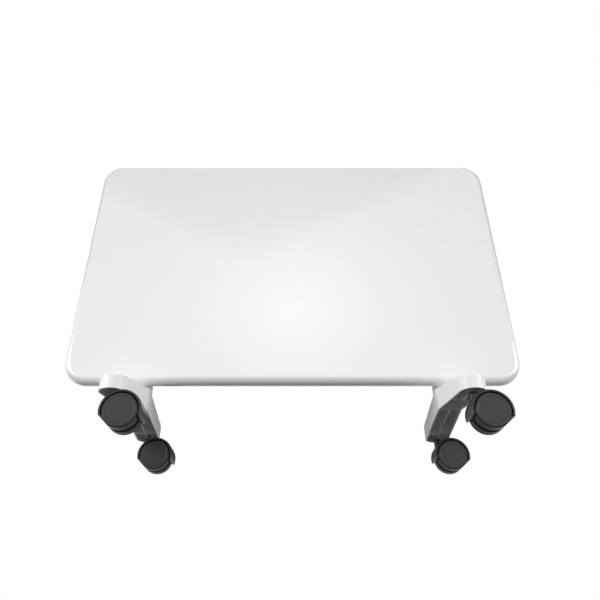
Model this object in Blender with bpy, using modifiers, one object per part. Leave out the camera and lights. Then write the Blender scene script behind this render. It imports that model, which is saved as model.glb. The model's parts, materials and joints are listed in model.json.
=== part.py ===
"""A convector heater on four twin-wheel casters.

A flat front panel hides a steel casing with a finned heating element. Two bent
plastic feet hang from the casing's underside, each with a caster at both ends.
Metres, +Z up. The floor is at Z = 0 and the front panel faces -Y.
"""
import math

import bmesh
import bpy
from mathutils import Matrix, Vector

# Clearances shared by the whole heater
GAP = 0.0003
OVERRUN = 0.002

# Casters
WHEEL_RADIUS = 0.022
WHEEL_PAIR_WIDTH = 0.033
WHEEL_FACE_RADIUS = 0.0201
WHEEL_FACE_DISH = 0.0008
WHEEL_DISH_RADIUS = 0.0172
WHEEL_SHOULDER = 0.0012
WHEEL_RIM_WALL = 0.003
WHEEL_FACE_WALL = 0.003
WHEEL_HUB_RADIUS = 0.0045
WHEEL_INNER_CHAMFER = 0.0008
WHEEL_GAP = 0.0014
HOOD_WALL = 0.0028
HOOD_WIDTH = 0.032
HOOD_WEB = 0.006
HOOD_TRAILING_END = -18.0
HOOD_LEADING_END = 194.0
HOOD_COLLAR_RADIUS = 0.0053
HOOD_COLLAR_ABOVE_AXLE = 0.0268
HOOD_SOCKET_DEPTH = 0.0052
AXLE_RADIUS = 0.002
AXLE_INSET = 0.0022
TRAIL = 0.0168
STEM_RADIUS = 0.0035
STEM_TAIL_RADIUS = 0.0016
STEM_TAIL_LENGTH = 0.011
STEM_HEAD_CHAMFER = 0.0008
STEM_RING_RADIUS = 0.0041
STEM_RING_HEIGHT = 0.001
STEM_INSIDE_CASING = 0.0755
STEM_SPACING_Y = 0.201

# Front panel
PANEL_WIDTH = 0.640
PANEL_HEIGHT = 0.400
PANEL_DEPTH = 0.013
PANEL_EDGE_RADIUS = 0.0095
PANEL_CORNER_RADIUS = 0.035
PANEL_WALL = 0.0012
PANEL_ABOVE_AXLE = 0.064
PANEL_BEHIND_FRONT_STEM = 0.058

# Rear casing
CASING_SIDE_INSET = 0.020
CASING_BOTTOM_INSET = 0.030
CASING_TOP_INSET = 0.017
CASING_DEPTH = 0.064
CASING_WALL = 0.001
CASING_BEND_RADIUS = 0.006
INLET_SLOT_LENGTH = 0.030
INLET_SLOT_WIDTH = 0.005
INLET_SLOT_PITCH_X = 0.038
INLET_SLOT_PITCH_Y = 0.014
INLET_SLOT_COLUMNS = 9
INLET_SLOT_ROWS = 3
HANGING_SLOT_WIDTH = 0.030
HANGING_SLOT_HEIGHT = 0.008
HANGING_SLOT_HALF_SPACING = 0.150
HANGING_SLOT_BELOW_TOP = 0.060

# Outlet grille
GRILLE_END_INSET = 0.045
GRILLE_WIDTH = 0.048
GRILLE_THICKNESS = 0.003
GRILLE_LIP = 0.005
GRILLE_SKIRT_DEPTH = 0.007
GRILLE_COLUMNS = 6
GRILLE_ROWS = 3
GRILLE_BAR = 0.004
GRILLE_VANE = 0.003
GRILLE_SLANT = 28.0

# Panel brackets
BRACKET_LEG = 0.014
BRACKET_WALL = 0.0012
BRACKET_BELOW_TOP = 0.030
BRACKET_ABOVE_BOTTOM = 0.015

# Screws
SCREW_RADIUS = 0.0018
SCREW_LENGTH = 0.009
SCREW_HEAD_RADIUS = 0.0035
SCREW_HEAD_HEIGHT = 0.0022
SCREW_HEAD_CHAMFER = 0.0008
SCREW_SLOT_WIDTH = 0.0009
SCREW_SLOT_DEPTH = 0.0008
SCREW_BACK_FROM_BRACKET_EDGE = 0.005
SIDE_SCREW_LOW = 0.035
SIDE_SCREW_HIGH = 0.205

# Heating element
ELEMENT_ABOVE_CASING = 0.050
FINS_SHORT_OF_MOUNT = 0.012
ELEMENT_CORE_RADIUS = 0.0065
ELEMENT_FIN_REACH = 0.026
ELEMENT_FIN_THICKNESS = 0.0018
ELEMENT_FIN_ANGLE = 36.0
ROD_RADIUS = 0.0032
ROD_PAST_MOUNT = 0.020
ROD_PIN_RADIUS = 0.0014
ROD_PIN_LENGTH = 0.008
MOUNT_TO_BLOCK = 0.008
MOUNT_ABOVE_ELEMENT = 0.016
MOUNT_FOOT = 0.013
MOUNT_WALL = 0.0012
BUSH_RADIUS = 0.0062
BUSH_FLANGE_RADIUS = 0.0085
BUSH_FLANGE = 0.0022

# Heat shield
SHIELD_PAST_MOUNT = 0.020
SHIELD_HEIGHT = 0.210
SHIELD_WALL = 0.0008
SHIELD_FOOT = 0.012
SHIELD_BEHIND_PANEL = 0.008
CUTOUT_RADIUS = 0.008
CUTOUT_CAP_RADIUS = 0.0065
CUTOUT_FLANGE = 0.0015
CUTOUT_HEIGHT = 0.006
CUTOUT_ABOVE_ELEMENT = 0.050
CUTOUT_X = 0.090

# Small electrical pieces on the casing floor
TILT_SIZE = (0.018, 0.014, 0.030)
TILT_CHAMFER = 0.0015
BLOCK_SIZE = (0.030, 0.016, 0.014)
BLOCK_TO_SIDE = 0.008
BLOCK_SLOT_WIDTH = 0.0012
BLOCK_SLOT_DEPTH = 0.006
BLOCK_WAYS = 3
BLOCK_BACK = 0.005

# Cord gland
GLAND_ABOVE_CASING = 0.036
GLAND_RADIUS = 0.0062
GLAND_FLANGE_RADIUS = 0.009
GLAND_FLANGE = 0.003
GLAND_LENGTH = 0.011
GLAND_NECK = 0.0016
GLAND_BORE_RADIUS = 0.0038

# Controls on the right side
BEZEL_WIDTH = 0.046
BEZEL_HEIGHT = 0.104
BEZEL_THICKNESS = 0.0025
BEZEL_CORNER_RADIUS = 0.006
BEZEL_BELOW_TOP = 0.072
BEZEL_BEHIND_CENTRE = 0.003
KNOB_RADIUS = 0.0155
KNOB_TOP_RADIUS = 0.0140
KNOB_HEIGHT = 0.0115
KNOB_WALL = 0.0016
KNOB_BOSS_RADIUS = 0.0052
KNOB_RUNNING_GAP = 0.0008
KNOB_CHAMFER = 0.0008
KNOB_MARK_WIDTH = 0.0016
KNOB_MARK_DEPTH = 0.0006
KNOB_ABOVE_BEZEL_CENTRE = -0.021
SHAFT_RADIUS = 0.003
SHAFT_SINK = 0.0015
THERMOSTAT_SIZE = (0.020, 0.030, 0.034)
THERMOSTAT_CHAMFER = 0.0015
SWITCH_ABOVE_BEZEL_CENTRE = 0.027
SWITCH_WIDTH = 0.015
SWITCH_HEIGHT = 0.021
SWITCH_LIP = 0.002
SWITCH_LIP_THICKNESS = 0.0016
SWITCH_BODY_DEPTH = 0.018
SWITCH_WALL = 0.0014
ROCKER_PIVOT_SINK = 0.0016
ROCKER_REACH = 0.0046
ROCKER_END_RISE = 0.0012
ROCKER_DEPTH = 0.0012
ROCKER_BASE_RADIUS = 0.0030
ROCKER_TILT = 9.0
ROCKER_POCKET_DEPTH = 0.0040
TRUNNION_RADIUS = 0.0010
TRUNNION_LENGTH = 0.0008

# Inner wires
WIRE_RADIUS = 0.0011
WIRE_STEP = 0.005
WIRE_BEND = 0.004

# Feet
LEG_END_RADIUS = 0.0175
LEG_BEND_HALF_WIDTH = 0.016
LEG_BEND_INBOARD = 0.0127
LEG_BEND_BEHIND_FACE = 0.005
LEG_RIM_BELOW_PANEL = 0.0365
LEG_NOSE_BELOW_PANEL = 0.0175
LEG_CREST_BELOW_PANEL = 0.006
LEG_HEEL_BELOW_PANEL = 0.014
LEG_WALL = 0.0025
LEG_CEILING = 0.004
LEG_RIB = 0.0018
LEG_BOSS_RADIUS = 0.0062
LEG_BOSS_BELOW_PANEL = 0.0295
LEG_BORE_CEILING = 0.001
LEG_WEB_TO_STEM = 0.0275
LEG_NECK_FRONT = 0.0010
LEG_NECK_DEPTH = 0.022
LEG_NECK_INSET = 0.0006
LEG_NECK_WALL = 0.003
LEG_NECK_CEILING = 0.004
LEG_NECK_ROUND = 0.006
LEG_SCREW_TO_WALL = 0.0004

# Sides of round shapes
SIDES_WHEEL = 24
SIDES_ROUND = 20
SIDES_SMALL = 12
ARC_STEPS = 6
ROUND_PROFILE_SHARE = 0.5

# Places that follow from the sizes
PANEL_BOTTOM = WHEEL_RADIUS + PANEL_ABOVE_AXLE
PANEL_TOP = PANEL_BOTTOM + PANEL_HEIGHT
FACE_Y = PANEL_BEHIND_FRONT_STEM - STEM_SPACING_Y / 2
CASING_FRONT = FACE_Y + PANEL_WALL + GAP
CASING_BACK = CASING_FRONT + CASING_DEPTH
CASING_MID = (CASING_FRONT + CASING_BACK) / 2
CASING_HALF = PANEL_WIDTH / 2 - CASING_SIDE_INSET
CASING_BOTTOM = PANEL_BOTTOM + CASING_BOTTOM_INSET
CASING_TOP = PANEL_TOP - CASING_TOP_INSET
CASING_FLOOR = CASING_BOTTOM + CASING_WALL
STEM_X = CASING_HALF - STEM_INSIDE_CASING
GRILLE_HALF_LENGTH = CASING_HALF - GRILLE_END_INSET
BLOCK_X = CASING_HALF - CASING_WALL - BLOCK_TO_SIDE - BLOCK_SIZE[0] / 2
TILT_X = -BLOCK_X
MOUNT_X = BLOCK_X - BLOCK_SIZE[0] / 2 - MOUNT_TO_BLOCK - MOUNT_FOOT
ROD_HALF_LENGTH = MOUNT_X + ROD_PAST_MOUNT
ELEMENT_Y = CASING_MID
ELEMENT_Z = CASING_BOTTOM + ELEMENT_ABOVE_CASING
SHIELD_Y = FACE_Y + PANEL_WALL + SHIELD_BEHIND_PANEL
BEZEL_Y = CASING_MID + BEZEL_BEHIND_CENTRE
BEZEL_Z = CASING_TOP - BEZEL_BELOW_TOP
KNOB_Z = BEZEL_Z + KNOB_ABOVE_BEZEL_CENTRE
SWITCH_Z = BEZEL_Z + SWITCH_ABOVE_BEZEL_CENTRE
BEZEL_FACE = CASING_HALF + GAP + BEZEL_THICKNESS
GLAND_Z = CASING_BOTTOM + GLAND_ABOVE_CASING
COLLAR_TOP = WHEEL_RADIUS + HOOD_COLLAR_ABOVE_AXLE
HOOD_INNER_RADIUS = WHEEL_RADIUS + WHEEL_GAP
HOOD_RADIUS = HOOD_INNER_RADIUS + HOOD_WALL
LEG_RIM = PANEL_BOTTOM - LEG_RIM_BELOW_PANEL
LEG_NOSE = PANEL_BOTTOM - LEG_NOSE_BELOW_PANEL
LEG_CREST = PANEL_BOTTOM - LEG_CREST_BELOW_PANEL
LEG_HEEL = PANEL_BOTTOM - LEG_HEEL_BELOW_PANEL
LEG_BORE_TOP = min(LEG_NOSE, LEG_HEEL) - LEG_BORE_CEILING
LEG_BOSS_END = PANEL_BOTTOM - LEG_BOSS_BELOW_PANEL
LEG_REACH = STEM_SPACING_Y / 2 + LEG_END_RADIUS
NECK_TOP = CASING_BOTTOM - GAP
NECK_FRONT = FACE_Y + PANEL_DEPTH + LEG_NECK_FRONT
NECK_BACK = NECK_FRONT + LEG_NECK_DEPTH
LEG_SCREW_SPREAD = (LEG_BEND_HALF_WIDTH - LEG_NECK_INSET - LEG_NECK_WALL - SCREW_HEAD_RADIUS
                    - LEG_SCREW_TO_WALL)

HEATER = bpy.data.collections.new("convector_heater")
CUTTERS = bpy.data.collections.new("cutters")


# Scene helpers

def clear_scene():
    """Start from an empty scene with the two collections in it."""
    for old in list(bpy.data.objects):
        bpy.data.objects.remove(old, do_unlink=True)
    bpy.context.scene.collection.children.link(HEATER)
    bpy.context.scene.collection.children.link(CUTTERS)


def material(name, colour, roughness, metallic):
    """A Principled material with one colour, given in linear light."""
    made = bpy.data.materials.new(name)
    made.use_nodes = True
    shader = made.node_tree.nodes["Principled BSDF"]
    shader.inputs["Base Color"].default_value = (*colour, 1.0)
    shader.inputs["Roughness"].default_value = roughness
    shader.inputs["Metallic"].default_value = metallic
    made.diffuse_color = (*colour, 1.0)
    return made


def add_object(name, mesh, finish=None):
    """Put a mesh in the heater, or among the cutters when it has no finish."""
    made = bpy.data.objects.new(name, mesh)
    if finish is None:
        CUTTERS.objects.link(made)
        made.hide_render = True
        made.display_type = "WIRE"
        return made
    mesh.materials.clear()
    mesh.materials.append(finish)
    HEATER.objects.link(made)
    return made


def mesh_from(name, shape):
    """Turn a bmesh into a mesh with its faces pointing out."""
    bmesh.ops.recalc_face_normals(shape, faces=shape.faces)
    mesh = bpy.data.meshes.new(name)
    shape.to_mesh(mesh)
    shape.free()
    return mesh


def box_mesh(name, size, chamfer=0.0):
    """A block about its own centre, with an optional small chamfer."""
    shape = bmesh.new()
    bmesh.ops.create_cube(shape, size=1.0, matrix=Matrix.Diagonal((*size, 1.0)))
    if chamfer:
        bmesh.ops.bevel(shape, geom=shape.edges[:], offset=chamfer, segments=1, affect="EDGES")
    return mesh_from(name, shape)


def box(name, low, high, finish=None, chamfer=0.0):
    """A block between two corners."""
    low = Vector(low)
    high = Vector(high)
    made = add_object(name, box_mesh(name, high - low, chamfer), finish)
    made.location = (low + high) / 2
    return made


def rod(name, radius, start, end, finish=None, sides=SIDES_SMALL):
    """A plain cylinder from start to end, along one of the world's axes."""
    start = Vector(start)
    end = Vector(end)
    run = end - start
    shape = bmesh.new()
    bmesh.ops.create_cone(shape, cap_ends=True, segments=sides, radius1=radius,
                          radius2=radius, depth=run.length)
    made = add_object(name, mesh_from(name, shape), finish)
    made.location = (start + end) / 2
    made.rotation_euler = run.to_track_quat("Z", "Y").to_euler()
    return made


def slab(name, outline, thickness, finish=None):
    """A flat outline, filled and extruded about its own plane, as a mesh."""
    curve = bpy.data.curves.new(name, "CURVE")
    curve.dimensions = "2D"
    curve.fill_mode = "BOTH"
    curve.extrude = thickness / 2
    line = curve.splines.new("POLY")
    line.points.add(len(outline) - 1)
    for point, (x, y) in zip(line.points, outline):
        point.co = (x, y, 0.0, 1.0)
    line.use_cyclic_u = True
    draft = bpy.data.objects.new(name + "_outline", curve)
    bpy.context.scene.collection.objects.link(draft)
    bpy.context.view_layer.update()
    evaluated = draft.evaluated_get(bpy.context.evaluated_depsgraph_get())
    mesh = bpy.data.meshes.new_from_object(evaluated)
    bpy.data.objects.remove(draft)
    bpy.data.curves.remove(curve)
    shape = bmesh.new()
    shape.from_mesh(mesh)
    bmesh.ops.remove_doubles(shape, verts=shape.verts, dist=GAP / 10)
    bpy.data.meshes.remove(mesh)
    return add_object(name, mesh_from(name, shape), finish)


def turned(name, profile, sides, finish=None):
    """A profile of (radius, height) points turned about the object's Z axis."""
    mesh = bpy.data.meshes.new(name)
    edges = [(i, i + 1) for i in range(len(profile) - 1)]
    if profile[0][0] > 0.0:
        edges.append((len(profile) - 1, 0))
    mesh.from_pydata([(radius, 0.0, height) for radius, height in profile], edges, [])
    made = add_object(name, mesh, finish)
    turn = made.modifiers.new("turn", "SCREW")
    turn.steps = sides
    turn.render_steps = sides
    turn.use_merge_vertices = True
    turn.merge_threshold = GAP / 10
    return made


def combine(target, operation, others):
    """Cut others from the target, or join them to it, one Boolean each."""
    for other in others:
        step = target.modifiers.new(other.name, "BOOLEAN")
        step.operation = operation
        step.solver = "EXACT"
        step.object = other
    return target


def cut(target, *cutters):
    """Cut each cutter out of the target."""
    return combine(target, "DIFFERENCE", cutters)


def join(target, *additions):
    """Join each addition to the target."""
    return combine(target, "UNION", additions)


def arc(centre, radius, start, end, steps):
    """Points on an arc, angles in degrees, both ends included."""
    angles = [math.radians(start + (end - start) * i / steps) for i in range(steps + 1)]
    return [(centre[0] + radius * math.cos(a), centre[1] + radius * math.sin(a)) for a in angles]


def rounded_rectangle(width, height, radius):
    """The outline of a rectangle about the origin with round corners."""
    outline = []
    for turn, (sx, sy) in enumerate(((1, 1), (-1, 1), (-1, -1), (1, -1))):
        corner = (sx * (width / 2 - radius), sy * (height / 2 - radius))
        outline += arc(corner, radius, 90 * turn, 90 * (turn + 1), ARC_STEPS // 2)
    return outline


def lay_along_y(made):
    """Stand an outline drawn in X and Z, or point a turned piece along -Y."""
    made.rotation_euler = (math.radians(90), 0.0, 0.0)


def lay_along_x(made):
    """Point the object's own Z axis along +X."""
    made.rotation_euler = (0.0, math.radians(90), 0.0)


# Front panel and casing

def add_front_panel(finish):
    """The pressed tray: round corners, a rolled rim, open at the back."""
    shape = bmesh.new()
    size = (PANEL_WIDTH, PANEL_DEPTH, PANEL_HEIGHT, 1.0)
    bmesh.ops.create_cube(shape, size=1.0, matrix=Matrix.Diagonal(size))
    corners = [e for e in shape.edges if abs(e.verts[0].co.y - e.verts[1].co.y) > PANEL_DEPTH / 2]
    bmesh.ops.bevel(shape, geom=corners, offset=PANEL_CORNER_RADIUS, segments=ARC_STEPS,
                    profile=ROUND_PROFILE_SHARE, affect="EDGES")
    front = min(shape.faces, key=lambda f: f.calc_center_median().y)
    bmesh.ops.bevel(shape, geom=front.edges[:], offset=PANEL_EDGE_RADIUS, segments=ARC_STEPS - 1,
                    profile=ROUND_PROFILE_SHARE, affect="EDGES")
    back = max(shape.faces, key=lambda f: f.calc_center_median().y)
    bmesh.ops.recalc_face_normals(shape, faces=shape.faces)
    bmesh.ops.delete(shape, geom=[back], context="FACES_ONLY")
    mesh = bpy.data.meshes.new("front_panel")
    shape.to_mesh(mesh)
    shape.free()
    panel = add_object("front_panel", mesh, finish)
    panel.location = (0.0, FACE_Y + PANEL_DEPTH / 2, PANEL_BOTTOM + PANEL_HEIGHT / 2)
    wall = panel.modifiers.new("wall", "SOLIDIFY")
    wall.thickness = PANEL_WALL
    wall.offset = -1.0
    wall.use_even_offset = True
    return panel


def inlet_slots():
    """Rows of slots through the casing's underside."""
    slots = []
    for column in range(INLET_SLOT_COLUMNS):
        x = (column - (INLET_SLOT_COLUMNS - 1) / 2) * INLET_SLOT_PITCH_X
        for row in range(INLET_SLOT_ROWS):
            y = CASING_MID + (row - (INLET_SLOT_ROWS - 1) / 2) * INLET_SLOT_PITCH_Y
            low = (x - INLET_SLOT_LENGTH / 2, y - INLET_SLOT_WIDTH / 2, CASING_BOTTOM - OVERRUN)
            high = (x + INLET_SLOT_LENGTH / 2, y + INLET_SLOT_WIDTH / 2, CASING_FLOOR + OVERRUN)
            slots.append(box(f"inlet_slot_{column}_{row}", low, high))
    return slots


def hanging_slots():
    """Two slots in the casing's back that a wall bracket hooks into."""
    slots = []
    z = CASING_TOP - HANGING_SLOT_BELOW_TOP
    for side in (-1, 1):
        x = side * HANGING_SLOT_HALF_SPACING
        low = (x - HANGING_SLOT_WIDTH / 2, CASING_BACK - CASING_WALL - OVERRUN,
               z - HANGING_SLOT_HEIGHT / 2)
        high = (x + HANGING_SLOT_WIDTH / 2, CASING_BACK + OVERRUN, z + HANGING_SLOT_HEIGHT / 2)
        slots.append(box(f"hanging_slot_{side}", low, high))
    return slots


def add_rear_casing(finish):
    """The folded steel box, open at the front, with its slots and holes."""
    shape = bmesh.new()
    size = (2 * CASING_HALF, CASING_DEPTH, CASING_TOP - CASING_BOTTOM)
    bmesh.ops.create_cube(shape, size=1.0, matrix=Matrix.Diagonal((*size, 1.0)))
    back = max(shape.faces, key=lambda f: f.calc_center_median().y)
    bmesh.ops.bevel(shape, geom=back.edges[:], offset=CASING_BEND_RADIUS, segments=ARC_STEPS // 2,
                    profile=ROUND_PROFILE_SHARE, affect="EDGES")
    bmesh.ops.recalc_face_normals(shape, faces=shape.faces)
    front = min(shape.faces, key=lambda f: f.calc_center_median().y)
    bmesh.ops.delete(shape, geom=[front], context="FACES_ONLY")
    mesh = bpy.data.meshes.new("rear_casing")
    shape.to_mesh(mesh)
    shape.free()
    casing = add_object("rear_casing", mesh, finish)
    casing.location = (0.0, CASING_MID, (CASING_TOP + CASING_BOTTOM) / 2)
    wall = casing.modifiers.new("wall", "SOLIDIFY")
    wall.thickness = CASING_WALL
    wall.offset = -1.0
    wall.use_even_offset = True
    cut(casing, *inlet_slots())
    cut(casing, *hanging_slots())
    half_length = GRILLE_HALF_LENGTH - GRILLE_LIP + GAP
    half_width = GRILLE_WIDTH / 2 - GRILLE_LIP + GAP
    cut(casing, box("outlet_opening",
                    (-half_length, CASING_MID - half_width, CASING_TOP - CASING_WALL - OVERRUN),
                    (half_length, CASING_MID + half_width, CASING_TOP + OVERRUN)))
    cut(casing, rod("gland_hole", GLAND_RADIUS - GLAND_NECK + GAP,
                    (BLOCK_X, CASING_BACK - CASING_WALL - OVERRUN, GLAND_Z),
                    (BLOCK_X, CASING_BACK + OVERRUN, GLAND_Z), sides=SIDES_ROUND))
    wall_low = CASING_HALF - CASING_WALL - OVERRUN
    wall_high = CASING_HALF + OVERRUN
    cut(casing, rod("shaft_hole", SHAFT_RADIUS + GAP, (wall_low, BEZEL_Y, KNOB_Z),
                    (wall_high, BEZEL_Y, KNOB_Z)))
    cut(casing, box("switch_hole",
                    (wall_low, BEZEL_Y - SWITCH_WIDTH / 2 - GAP, SWITCH_Z - SWITCH_HEIGHT / 2 - GAP),
                    (wall_high, BEZEL_Y + SWITCH_WIDTH / 2 + GAP, SWITCH_Z + SWITCH_HEIGHT / 2 + GAP)))
    for number, (x, y) in enumerate(leg_screw_places()):
        cut(casing, rod(f"leg_screw_hole_{number}", SCREW_RADIUS + GAP,
                        (x, y, CASING_BOTTOM - OVERRUN), (x, y, CASING_FLOOR + OVERRUN)))
    for number, (side, z) in enumerate(side_screw_places()):
        cut(casing, rod(f"casing_screw_hole_{number}", SCREW_RADIUS + GAP,
                        (side * wall_low, side_screw_y(), z), (side * wall_high, side_screw_y(), z)))
    return casing


def add_outlet_grille(finish):
    """The top grille: a lipped frame with slanted windows between its vanes."""
    low = CASING_TOP + GAP
    half_length = GRILLE_HALF_LENGTH
    half_width = GRILLE_WIDTH / 2
    grille = box("outlet_grille", (-half_length, CASING_MID - half_width, low),
                 (half_length, CASING_MID + half_width, low + GRILLE_THICKNESS), finish)
    skirt_length = half_length - GRILLE_LIP
    skirt_width = half_width - GRILLE_LIP
    join(grille, box("grille_skirt", (-skirt_length, CASING_MID - skirt_width, low - GRILLE_SKIRT_DEPTH),
                     (skirt_length, CASING_MID + skirt_width, low + GRILLE_THICKNESS / 2)))
    pitch_x = (2 * skirt_length - GRILLE_BAR) / GRILLE_COLUMNS
    pitch_y = (2 * skirt_width - 2 * GRILLE_BAR) / GRILLE_ROWS
    height = GRILLE_THICKNESS + GRILLE_SKIRT_DEPTH
    for column in range(GRILLE_COLUMNS):
        x = (column - (GRILLE_COLUMNS - 1) / 2) * pitch_x
        for row in range(GRILLE_ROWS):
            y = CASING_MID + (row - (GRILLE_ROWS - 1) / 2) * pitch_y
            size = (pitch_x - GRILLE_BAR, pitch_y - GRILLE_VANE, 2 * height)
            window = add_object(f"grille_window_{column}_{row}", box_mesh("grille_window", size))
            window.location = (x, y, low + GRILLE_THICKNESS - height / 2)
            window.rotation_euler = (math.radians(GRILLE_SLANT), 0.0, 0.0)
            cut(grille, window)
    return grille


# Screws

def add_screw(name, seat, direction, finish):
    """A slotted pan-head screw with its head's underside at the seat."""
    profile = [(0.0, SCREW_HEAD_HEIGHT),
               (SCREW_HEAD_RADIUS - SCREW_HEAD_CHAMFER, SCREW_HEAD_HEIGHT),
               (SCREW_HEAD_RADIUS, SCREW_HEAD_HEIGHT - SCREW_HEAD_CHAMFER),
               (SCREW_HEAD_RADIUS, 0.0),
               (SCREW_RADIUS, 0.0),
               (SCREW_RADIUS, SCREW_RADIUS - SCREW_LENGTH),
               (0.0, -SCREW_LENGTH)]
    screw = turned(name, profile, SIDES_SMALL, finish)
    screw.location = seat
    screw.rotation_euler = Vector(direction).to_track_quat("Z", "Y").to_euler()
    size = (2 * SCREW_HEAD_RADIUS + OVERRUN, SCREW_SLOT_WIDTH, 2 * SCREW_SLOT_DEPTH)
    slot = add_object(name + "_slot", box_mesh("screw_slot", size))
    slot.parent = screw
    slot.location = (0.0, 0.0, SCREW_HEAD_HEIGHT)
    return cut(screw, slot)


def side_screw_y():
    """How far back the casing screws sit, inside the bracket's flange."""
    return CASING_FRONT + BRACKET_LEG - SCREW_BACK_FROM_BRACKET_EDGE


def side_screw_places():
    """Side and height of the four screws that hold the casing to the panel."""
    heights = (CASING_BOTTOM + SIDE_SCREW_LOW, CASING_BOTTOM + SIDE_SCREW_HIGH)
    return [(side, z) for side in (-1, 1) for z in heights]


def leg_screw_places():
    """X and Y of the four screws that hold the feet to the casing."""
    y = (NECK_FRONT + NECK_BACK) / 2
    places = []
    for side in (-1, 1):
        for spread in (-LEG_SCREW_SPREAD, LEG_SCREW_SPREAD):
            places.append((side * (leg_centre_x(y) + spread), y))
    return places


def add_screws(finish):
    """Four casing screws and four leg screws."""
    for number, (side, z) in enumerate(side_screw_places()):
        add_screw(f"casing_screw_{number + 1}", (side * (CASING_HALF + GAP), side_screw_y(), z),
                  (side, 0.0, 0.0), finish)
    for number, (x, y) in enumerate(leg_screw_places()):
        add_screw(f"leg_screw_{number + 1}", (x, y, NECK_TOP - LEG_NECK_CEILING - GAP),
                  (0.0, 0.0, -1.0), finish)


def add_panel_brackets(finish):
    """An angle at each side, welded to the panel and screwed to the casing."""
    low = CASING_BOTTOM + BRACKET_ABOVE_BOTTOM
    high = CASING_TOP - BRACKET_BELOW_TOP
    for side, word in ((-1, "left"), (1, "right")):
        outer = side * (CASING_HALF - CASING_WALL - GAP)
        inner = outer - side * BRACKET_LEG
        turn = outer - side * BRACKET_WALL
        front = CASING_FRONT
        outline = [(outer, front), (outer, front + BRACKET_LEG), (turn, front + BRACKET_LEG),
                   (turn, front + BRACKET_WALL), (inner, front + BRACKET_WALL), (inner, front)]
        bracket = slab(f"panel_bracket_{word}", outline, high - low, finish)
        bracket.location = (0.0, 0.0, (low + high) / 2)
        for number, z in enumerate(sorted({z for _, z in side_screw_places()})):
            cut(bracket, rod(f"bracket_hole_{word}_{number}", SCREW_RADIUS + GAP,
                             (turn - side * OVERRUN, side_screw_y(), z),
                             (outer + side * OVERRUN, side_screw_y(), z)))


# Heating element and what carries it

def fin_outline():
    """The element's section: a core with four slanted fins."""
    half = ELEMENT_FIN_THICKNESS / 2
    outline = []
    root = math.degrees(math.asin(half / ELEMENT_CORE_RADIUS))
    angles = [ELEMENT_FIN_ANGLE, 180 - ELEMENT_FIN_ANGLE, 180 + ELEMENT_FIN_ANGLE,
              360 - ELEMENT_FIN_ANGLE]
    for number, angle in enumerate(angles):
        along = Vector((math.cos(math.radians(angle)), math.sin(math.radians(angle))))
        across = Vector((-along.y, along.x))
        tip = along * ELEMENT_FIN_REACH
        outline.append(tuple(tip - across * half))
        outline.append(tuple(tip + across * half))
        following = angles[(number + 1) % len(angles)] + 360 * (number + 1 == len(angles))
        outline += arc((0.0, 0.0), ELEMENT_CORE_RADIUS, angle + root, following - root, ARC_STEPS // 2)
    return outline


def add_element(steel, aluminium):
    """The sheathed rod and the finned body round it."""
    length = 2 * (MOUNT_X - FINS_SHORT_OF_MOUNT)
    fins = slab("element_fins", fin_outline(), length, aluminium)
    lay_along_x(fins)
    fins.location = (0.0, ELEMENT_Y, ELEMENT_Z)
    half = length / 2 + OVERRUN
    cut(fins, rod("element_bore", ROD_RADIUS + GAP, (-half, ELEMENT_Y, ELEMENT_Z),
                  (half, ELEMENT_Y, ELEMENT_Z), sides=SIDES_SMALL))
    end = ROD_HALF_LENGTH
    tip = end + ROD_PIN_LENGTH
    profile = [(0.0, tip), (ROD_PIN_RADIUS, tip), (ROD_PIN_RADIUS, end), (ROD_RADIUS, end),
               (ROD_RADIUS, -end), (ROD_PIN_RADIUS, -end), (ROD_PIN_RADIUS, -tip), (0.0, -tip)]
    sheath = turned("element_rod", profile, SIDES_SMALL, steel)
    lay_along_x(sheath)
    sheath.location = (0.0, ELEMENT_Y, ELEMENT_Z)


def add_element_mounts(steel, ceramic):
    """At each end a steel bracket on the casing's floor, with its bush."""
    low = CASING_FLOOR + GAP
    high = ELEMENT_Z + MOUNT_ABOVE_ELEMENT
    width = 2 * (ELEMENT_Y - SHIELD_Y - SHIELD_FOOT - GAP)
    for side, word in ((-1, "left"), (1, "right")):
        x = side * MOUNT_X
        wall = side * MOUNT_WALL
        foot = side * MOUNT_FOOT
        outline = [(x, low), (x + foot, low), (x + foot, low + MOUNT_WALL), (x + wall, low + MOUNT_WALL),
                   (x + wall, high), (x, high)]
        bracket = slab(f"element_bracket_{word}", outline, width, steel)
        lay_along_y(bracket)
        bracket.location = (0.0, ELEMENT_Y, 0.0)
        cut(bracket, rod(f"bush_hole_{word}", BUSH_RADIUS + GAP,
                         (x - side * OVERRUN, ELEMENT_Y, ELEMENT_Z),
                         (x + wall + side * OVERRUN, ELEMENT_Y, ELEMENT_Z), sides=SIDES_ROUND))
        groove = MOUNT_WALL / 2 + GAP
        end = groove + BUSH_FLANGE
        profile = [(BUSH_FLANGE_RADIUS, end), (BUSH_FLANGE_RADIUS, groove), (BUSH_RADIUS, groove),
                   (BUSH_RADIUS, -groove), (BUSH_FLANGE_RADIUS, -groove), (BUSH_FLANGE_RADIUS, -end),
                   (ROD_RADIUS + GAP, -end), (ROD_RADIUS + GAP, end)]
        bush = turned(f"element_bush_{word}", profile, SIDES_ROUND, ceramic)
        lay_along_x(bush)
        bush.location = (x + wall / 2, ELEMENT_Y, ELEMENT_Z)


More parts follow.
